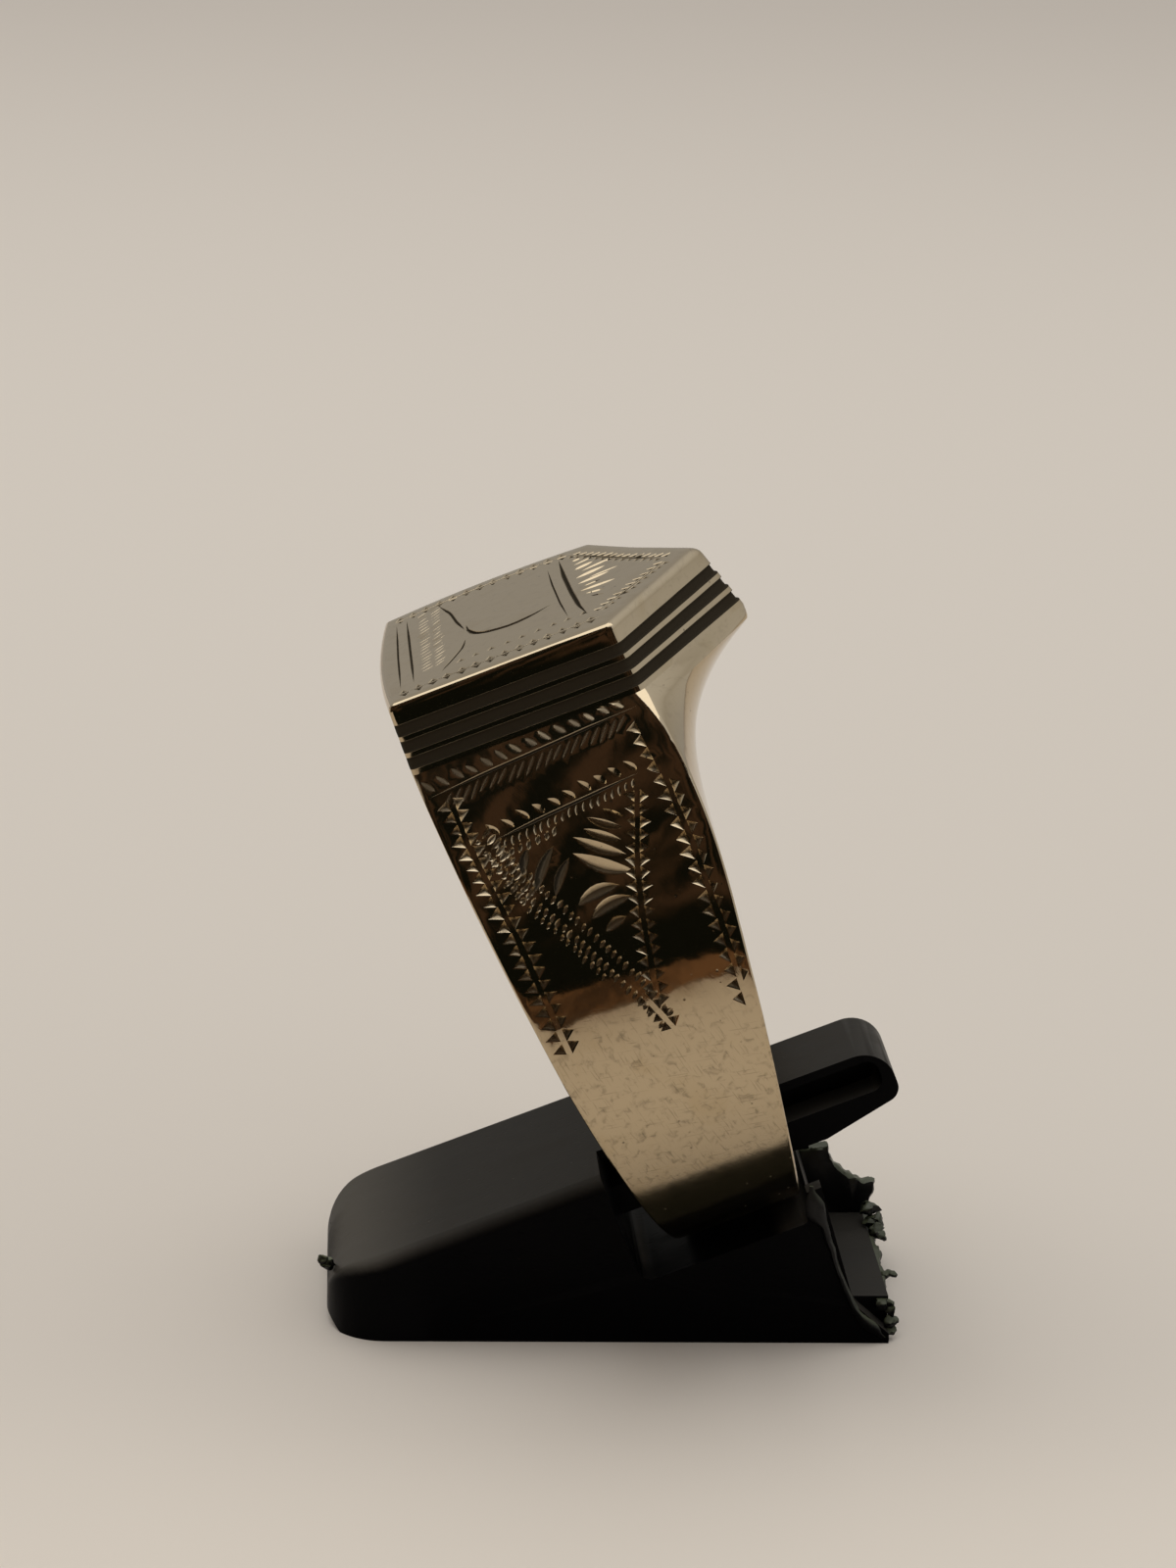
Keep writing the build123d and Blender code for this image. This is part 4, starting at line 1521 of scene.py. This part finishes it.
@dataclass(frozen=True)
class MouldFlash:
    """Ragged plastic that the mould left on the clip.

    Places are in millimetres: x from the ring's centre, y across and z up from the floor. Each crumb
    is a place and a radius. The plates' edge is given by how far in it lies at shares of the thickness.
    """

    bead_left: tuple[Point, ...] = (
        (6.08, 6.56), (6.25, 5.15), (6.78, 4.85), (7.05, 4.14), (7.37, 3.33), (7.7, 2.41), (8.24, 1.18),
        (8.95, 0.36), (9.15, 0.1))
    bead_right: tuple[Point, ...] = (
        (6.7, 6.5), (6.98, 5.6), (7.21, 4.65), (7.5, 3.75), (7.77, 2.92), (8.1, 2.15), (8.5, 1.38),
        (9.41, 0.67), (9.81, 0.36))
    bead_y: float = -4.83
    bead_thickness: float = 0.2
    bead_stations: int = 30
    bead_sides: int = 10
    web: tuple[Point, ...] = (
        (6.8, 1.5), (6.72, 3.6), (6.95, 4.25), (7.5, 4.42), (8.2, 4.52), (8.26, 4.1), (8.46, 3.75),
        (8.87, 3.43), (9.3, 3.15), (9.7, 2.95), (10.15, 3.0), (10.16, 2.55), (10.0, 2.2), (9.95, 1.9),
        (9.6, 1.5))
    web_span: Point = (3.95, 4.6)
    fringe: tuple[Point, ...] = (
        (9.2, -4.5), (9.62, -4.4), (9.7, -3.2), (9.9, -1.9), (9.82, -0.9), (10.06, 0.4), (9.9, 1.5),
        (10.05, 2.4), (9.96, 3.1), (10.24, 4.1), (9.2, 4.4))
    fringe_span: Point = (1.15, 1.54)
    plate_spacing: float = 0.12
    plate_edge: tuple[Point, ...] = ((0.0, 0.1), (0.12, 0.02), (0.5, 0.0), (0.88, 0.02), (1.0, 0.1))
    crumbs: tuple[tuple[float, float, float, float], ...] = (
        (9.88, 3.1, 2.2, 0.36), (9.98, 2.6, 1.85, 0.36), (10.08, 2.1, 1.62, 0.32),
        (10.12, 1.6, 1.7, 0.25), (9.86, -1.8, 1.5, 0.2), (10.03, -1.75, 1.5, 0.17),
        (10.18, -1.8, 1.52, 0.17), (9.68, -4.2, 1.4, 0.24), (9.8, -4.3, 1.1, 0.22),
        (9.84, -4.35, 0.75, 0.24), (9.82, -4.4, 0.4, 0.22), (-11.9, -2.9, 2.35, 0.3),
        (-12.08, -3.0, 2.6, 0.2))
    crumb_form: tuple[float, float, float] = (1.0, 0.85, 0.8)
    sharp_degrees: float = 40.0
    # Its pale film is partly dust, partly painted sheen on the torn rims.
    finish: MouldedPlastic = MouldedPlastic(dust_and_sheen=(0.1, 0.11, 0.06), dust_and_sheen_film=0.6, specular=0.25)
    seed: int = 5

    def roughened(self, points: np.ndarray, size: float, amount: float) -> np.ndarray:
        """Points moved a little, as torn plastic is uneven."""
        moves = [noise.noise_vector(Vector(p) / size) for p in points.tolist()]
        return points + np.array([tuple(m) for m in moves]) * amount

    def add_bead(self, draft: MeshDraft) -> None:
        """The soft rim along the near wall's open end."""
        sides = (Route(self.bead_left), Route(self.bead_right))
        least, taper = 0.25, 12
        angle = np.arange(self.bead_sides) * 2 * math.pi / self.bead_sides
        rings = []
        for share in np.linspace(0, 1, self.bead_stations + 1):
            left, right = (side.at(share * side.length) for side in sides)
            swell = max(least, min(1, taper * min(share, 1 - share)))
            middle, half = (left + right) / 2, (right - left) / 2 * swell
            x, z = (middle[axis] + half[axis] * np.cos(angle) for axis in (0, 1))
            y = self.bead_y + self.bead_thickness * swell * np.sin(angle)
            rings.append(self.roughened(np.column_stack([x, y, z]), 0.5, 0.05))
        self.add_tube(draft, np.array(rings))

    def add_plate(self, draft: MeshDraft, outline: tuple[Point, ...], span: Point, upright: bool) -> None:
        """A thin ragged plate.

        Args:
            draft: Where it is added.
            outline: Its outline.
            span: Where it starts and ends through its thickness.
            upright: True if the outline is x and z, False if it is x and y.
        """
        route = Route((*outline, outline[0]))
        count = round(route.length / self.plate_spacing)
        flat = np.array([route.at(i * route.length / count) for i in range(count)])
        inward = flat.mean(axis=0) - flat
        rings = []
        for share, shrink in self.plate_edge:
            place = flat + inward * shrink / np.linalg.norm(inward, axis=1)[:, None]
            level = np.full(count, span[0] + (span[1] - span[0]) * share)
            columns = (place[:, 0], level, place[:, 1]) if upright else (place[:, 0], place[:, 1], level)
            rings.append(self.roughened(np.column_stack(columns), 0.22, 0.09))
        self.add_tube(draft, np.array(rings))

    def add_tube(self, draft: MeshDraft, rings: np.ndarray) -> None:
        """A closed body through rings of as many points each."""
        draft.add_rows(np.concatenate([rings, rings[:, :1]], axis=1))
        for ring in (rings[0], rings[-1]):
            draft.add(ring, ring[:, :2], np.arange(len(ring))[None])

    def add_crumb(self, draft: MeshDraft, x: float, y: float, z: float, radius: float) -> None:
        """A torn lump."""
        ball = bmesh.new()
        bmesh.ops.create_icosphere(ball, subdivisions=3, radius=radius)
        points = np.array([tuple(vert.co) for vert in ball.verts]) * self.crumb_form + (x, y, z)
        faces = np.array([[vert.index for vert in face.verts] for face in ball.faces])
        ball.free()
        points = self.roughened(self.roughened(points, 0.35, radius * 0.7), 0.12, radius * 0.22)
        draft.add(points, points[:, :2], faces)

    def build(self, kit: WearKit, seat: RingSeat) -> bpy.types.Object:
        """Makes the flash as one piece that rides with the clip."""
        noise.seed_set(self.seed)
        draft = MeshDraft()
        self.add_bead(draft)
        self.add_plate(draft, self.web, self.web_span, upright=True)
        self.add_plate(draft, self.fringe, self.fringe_span, upright=False)
        for crumb in self.crumbs:
            self.add_crumb(draft, *crumb)
        centre = seat.centre()
        step = Matrix.Translation((centre.x, centre.y, 0)) @ Matrix.Scale(MM, 4)
        piece = draft.build("mould_flash", step, self.sharp_degrees)
        piece.data.materials.append(self.finish.material(kit, "torn_plastic"))
        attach(piece, BODY)
        return piece


# Studio


@dataclass(frozen=True)
class CameraPlace:
    """The photograph's viewpoint, in millimetres and radians; x is measured from the ring's centre."""

    position: tuple[float, float, float] = (-12.323, -141.741, 64.666)
    yaw: float = -0.0706
    pitch: float = 0.29885
    roll: float = 0.03435
    focal_pixels: float = 4000.0
    image_height: float = 1600.0
    sensor: float = 36.0

    def build(self, centre: Vector) -> None:
        """Makes the scene's camera.

        Args:
            centre: The ring's centre, in metres.
        """
        ahead = Vector((
            -math.sin(self.yaw) * math.cos(self.pitch),
            math.cos(self.yaw) * math.cos(self.pitch),
            -math.sin(self.pitch),
        ))
        right = Vector((math.cos(self.yaw), math.sin(self.yaw), 0.0))
        up = right.cross(ahead)
        turned_right = right * math.cos(self.roll) + up * math.sin(self.roll)
        turned_up = up * math.cos(self.roll) - right * math.sin(self.roll)
        turn = Matrix((turned_right, turned_up, -ahead)).transposed().to_4x4()
        data = bpy.data.cameras.new("camera")
        data.sensor_fit = "AUTO"
        data.sensor_width = self.sensor
        data.lens = self.focal_pixels * self.sensor / self.image_height
        data.clip_start, data.clip_end = 0.005, 20.0
        camera = bpy.data.objects.new("camera", data)
        place = Vector(self.position) * MM
        place.x += centre.x
        camera.matrix_world = Matrix.Translation(place) @ turn
        bpy.context.scene.collection.objects.link(camera)
        bpy.context.scene.camera = camera


@dataclass(frozen=True)
class ReflectionSheet:
    """A glowing curved sheet in front of the ring, a painted reflection that only reflections and bounced
    light see; one that bounces light also paints shade on the floor.

    Its second colour shows only above plain_below. The distance from the ring and the heights are
    in metres, and the top is an elevation in degrees. Azimuths are in degrees too, seen from the
    ring: 0 is straight in front, and they grow to the right.
    """

    name: str
    distance: float
    foot: float
    top: float
    colours: tuple[Colour, Colour]
    plain_below: float = 0.0
    bounces: bool = False
    azimuths: Point = (-78.0, 42.0)
    band_counts: tuple[float, float, float] = (24.0, 4.0, 5.0)
    plain_edge: float = 0.002


@dataclass
class Studio:
    """Plain pale floor with painted shade and light, soft light, a painted shade strip and glowing sheets
    that paint reflections in the polished gold.
    """

    floor_half: float = 2.5
    floor_colour: Colour = (0.692, 0.627, 0.549)
    # Painted shade far behind the ring and painted light just in front of it.
    floor_painted_shade_behind: Colour = (0.575, 0.515, 0.45)
    floor_painted_light_before: Colour = (0.78, 0.705, 0.61)
    dimming_reach: Point = (0.12, 0.55)
    brightening_reach: Point = (-0.004, -0.024)
    # A painted shade strip under the clip's near wall, which only reflections see.
    shade_reach: tuple[float, float, float, float] = (-0.008, 0.013, -0.0103, -0.00487)
    shade_height: float = 0.0001
    shade_colours: tuple[Colour, Colour] = ((0.006, 0.006, 0.004), (0.014, 0.013, 0.009))
    low_sky: Colour = (0.4, 0.387, 0.36)
    high_sky: Colour = (0.72, 0.735, 0.76)
    # Glowing sheets that paint dark and warm reflections in the gold; the warm one also paints shade on the
    # floor in front.
    reflection_sheets: tuple[ReflectionSheet, ...] = (
        ReflectionSheet("warm_painted_reflection", 0.139, 0.0, 30.0, ((0.045, 0.026, 0.015), (0.17, 0.088, 0.042)),
              bounces=True),
        ReflectionSheet("dark_painted_reflection", 0.04, 0.0168, 68.0, ((0.006, 0.0068, 0.0045), (0.06, 0.035, 0.021)),
              plain_below=0.0255),
    )
    reflection_grid: tuple[int, int] = (24, 40)
    lamp_place: tuple[float, float, float] = (-0.12, 0.12, 0.75)
    lamp_aim: tuple[float, float, float] = (0.0, 0.0, 0.015)
    lamp_size: float = 0.9
    lamp_power: float = 2.5
    lamp_colour: Colour = (1.0, 0.98, 0.95)

    def sheet(self, name: str, points: Sequence[tuple[float, float, float]],
              faces: Sequence[tuple[int, ...]] = ((0, 1, 2, 3),)) -> bpy.types.Object:
        """An open object of the studio, one four-cornered face unless more are given."""
        mesh = bpy.data.meshes.new(name)
        mesh.from_pydata(points, [], faces)
        made = bpy.data.objects.new(name, mesh)
        bpy.context.scene.collection.objects.link(made)
        return made

    def build_floor(self) -> None:
        """The pale floor that fills the view, with painted shade far behind the ring and painted light just
        in front of it.
        """
        h = self.floor_half
        floor = self.sheet("floor", [(-h, -h, 0), (h, -h, 0), (h, h, 0), (-h, h, 0)])
        material, shader, surface = new_material("pale_paper")
        y = shader.axes(shader.coordinate())[1]
        # Painted shade: darker far behind the ring. Painted light: brighter just in front of it.
        colour = shader.tint(shader.remap(y, *self.dimming_reach), self.floor_colour, self.floor_painted_shade_behind)
        colour = shader.tint(shader.remap(y, *self.brightening_reach), colour, self.floor_painted_light_before)
        shader.feed(surface.inputs["Base Color"], colour)
        surface.inputs["Roughness"].default_value = 0.9
        surface.inputs["Specular IOR Level"].default_value = 0.1
        floor.data.materials.append(material)

    def glowing(self, name: str, colour: Callable[[ShaderTree], bpy.types.NodeSocket]) -> bpy.types.Material:
        """A material that gives off a colour and takes no light."""
        material = bpy.data.materials.new(name)
        material.use_nodes = True
        material.node_tree.nodes.clear()
        shader = ShaderTree(material.node_tree)
        glow, leave = shader.node("ShaderNodeEmission"), shader.node("ShaderNodeOutputMaterial")
        shader.feed(glow.inputs["Color"], colour(shader))
        shader.feed(leave.inputs[0], glow.outputs[0])
        return material

    def mirror_only(self, made: bpy.types.Object, bounces: bool) -> None:
        """Hides an object from all but reflections and, if it bounces light, the shade it gives."""
        made.visible_camera = made.visible_shadow = False
        made.visible_diffuse = bounces
        made.visible_transmission = made.visible_volume_scatter = False

    def build_shade(self, centre: Vector) -> None:
        """A painted shade: a dark glowing strip just over the floor under the clip's near wall, which only
        reflections such as the ring's underside see.
        """
        left, right, near, far = self.shade_reach
        corners = [(left, near), (right, near), (right, far), (left, far)]
        points = [(centre.x + x, centre.y + y, self.shade_height) for x, y in corners]
        # Painted shade: a dark glowing sheet in place of the shadow in front of the near wall.
        shade = self.sheet("floor_shade", points)

        def mottled(shader: ShaderTree) -> bpy.types.NodeSocket:
            """The shade's colour."""
            return shader.tint(shader.node("ShaderNodeTexNoise").outputs[0], *self.shade_colours)

        shade.data.materials.append(self.glowing("floor_shade", mottled))
        self.mirror_only(shade, bounces=False)

    def build_reflection_sheet(self, reflector: ReflectionSheet, centre: Vector) -> None:
        """Makes a glowing sheet of painted reflection round the ring's centre."""
        rows, columns = self.reflection_grid
        radius = reflector.distance
        foot = math.asin((reflector.foot - centre.z) / radius)
        low, high = (math.radians(azimuth) for azimuth in reflector.azimuths)
        points, faces = [], []
        for i in range(rows + 1):
            rise = foot + (math.radians(reflector.top) - foot) * i / rows
            flat = radius * math.cos(rise)
            height = centre.z + radius * math.sin(rise)
            for j in range(columns + 1):
                turn = low + (high - low) * j / columns
                points.append((centre.x + flat * math.sin(turn), centre.y - flat * math.cos(turn), height))
        for i in range(rows):
            for j in range(columns):
                first = i * (columns + 1) + j
                faces.append((first, first + 1, first + columns + 2, first + columns + 1))
        made = self.sheet(reflector.name, points, faces)

        def glow_bands(shader: ShaderTree) -> bpy.types.NodeSocket:
            """The sheet's glowing colour, which mixes in soft bands."""
            place, start, edge = shader.coordinate(), reflector.plain_below, reflector.plain_edge
            mixing = shader.remap(shader.axes(place)[2], start - edge, start + edge)
            stretched = shader.node("ShaderNodeVectorMath", operation="MULTIPLY")
            shader.feed(stretched.inputs[0], place)
            stretched.inputs[1].default_value = [count / radius for count in reflector.band_counts]
            bands = shader.remap(shader.cloud(stretched.outputs[0], 3.0), 0.42, 0.6)
            return shader.tint(shader.times(bands, mixing), *reflector.colours)

        # Painted reflection: the sheet glows, and only reflections and bounced light see it.
        made.data.materials.append(self.glowing(reflector.name, glow_bands))
        self.mirror_only(made, reflector.bounces)

    def build_sky(self) -> None:
        """The soft surround, dim low down, brighter overhead and to the right."""
        world = bpy.data.worlds.new("surround")
        world.use_nodes = True
        shader = ShaderTree(world.node_tree)
        x, _, z = shader.axes(shader.coordinate("Generated"))
        right = shader.times(shader.remap(x, 0.5, 1.05), 0.6)
        share = shader.math("MAXIMUM", shader.remap(z, 0.3, 0.9), right)
        background = world.node_tree.nodes["Background"]
        shader.feed(background.inputs[0], shader.tint(share, self.low_sky, self.high_sky))
        bpy.context.scene.world = world

    def build_lamp(self) -> None:
        """The soft square light overhead, which faces the ring."""
        data = bpy.data.lights.new("overhead_light", "AREA")
        data.size, data.energy, data.color = self.lamp_size, self.lamp_power, self.lamp_colour
        made = bpy.data.objects.new("overhead_light", data)
        made.location = self.lamp_place
        aim = Vector(self.lamp_aim) - Vector(self.lamp_place)
        made.rotation_euler = aim.to_track_quat("-Z", "Y").to_euler()
        bpy.context.scene.collection.objects.link(made)

    def build(self, centre: Vector) -> None:
        """Makes the floor, the painted shade strip, the glowing reflection sheets, the light and the
        surround about the ring's centre.
        """
        self.build_floor()
        self.build_shade(centre)
        for reflector in self.reflection_sheets:
            self.build_reflection_sheet(reflector, centre)
        self.build_sky()
        self.build_lamp()
        LOG.info("studio: floor, cloths, light and surround")


def main() -> None:
    """Builds the studio, the ring and the clip."""
    logging.basicConfig(level=logging.INFO, format="%(message)s")
    bpy.context.scene.view_settings.view_transform = "Standard"
    centre = RingSeat().centre()
    CameraPlace().build(centre)
    Studio().build(centre)
    kit = WearKit()
    EngravedRing().build(kit)
    DisplayClip().build(kit)
    MouldFlash().build(kit, RingSeat())


if __name__ == "__main__":
    main()
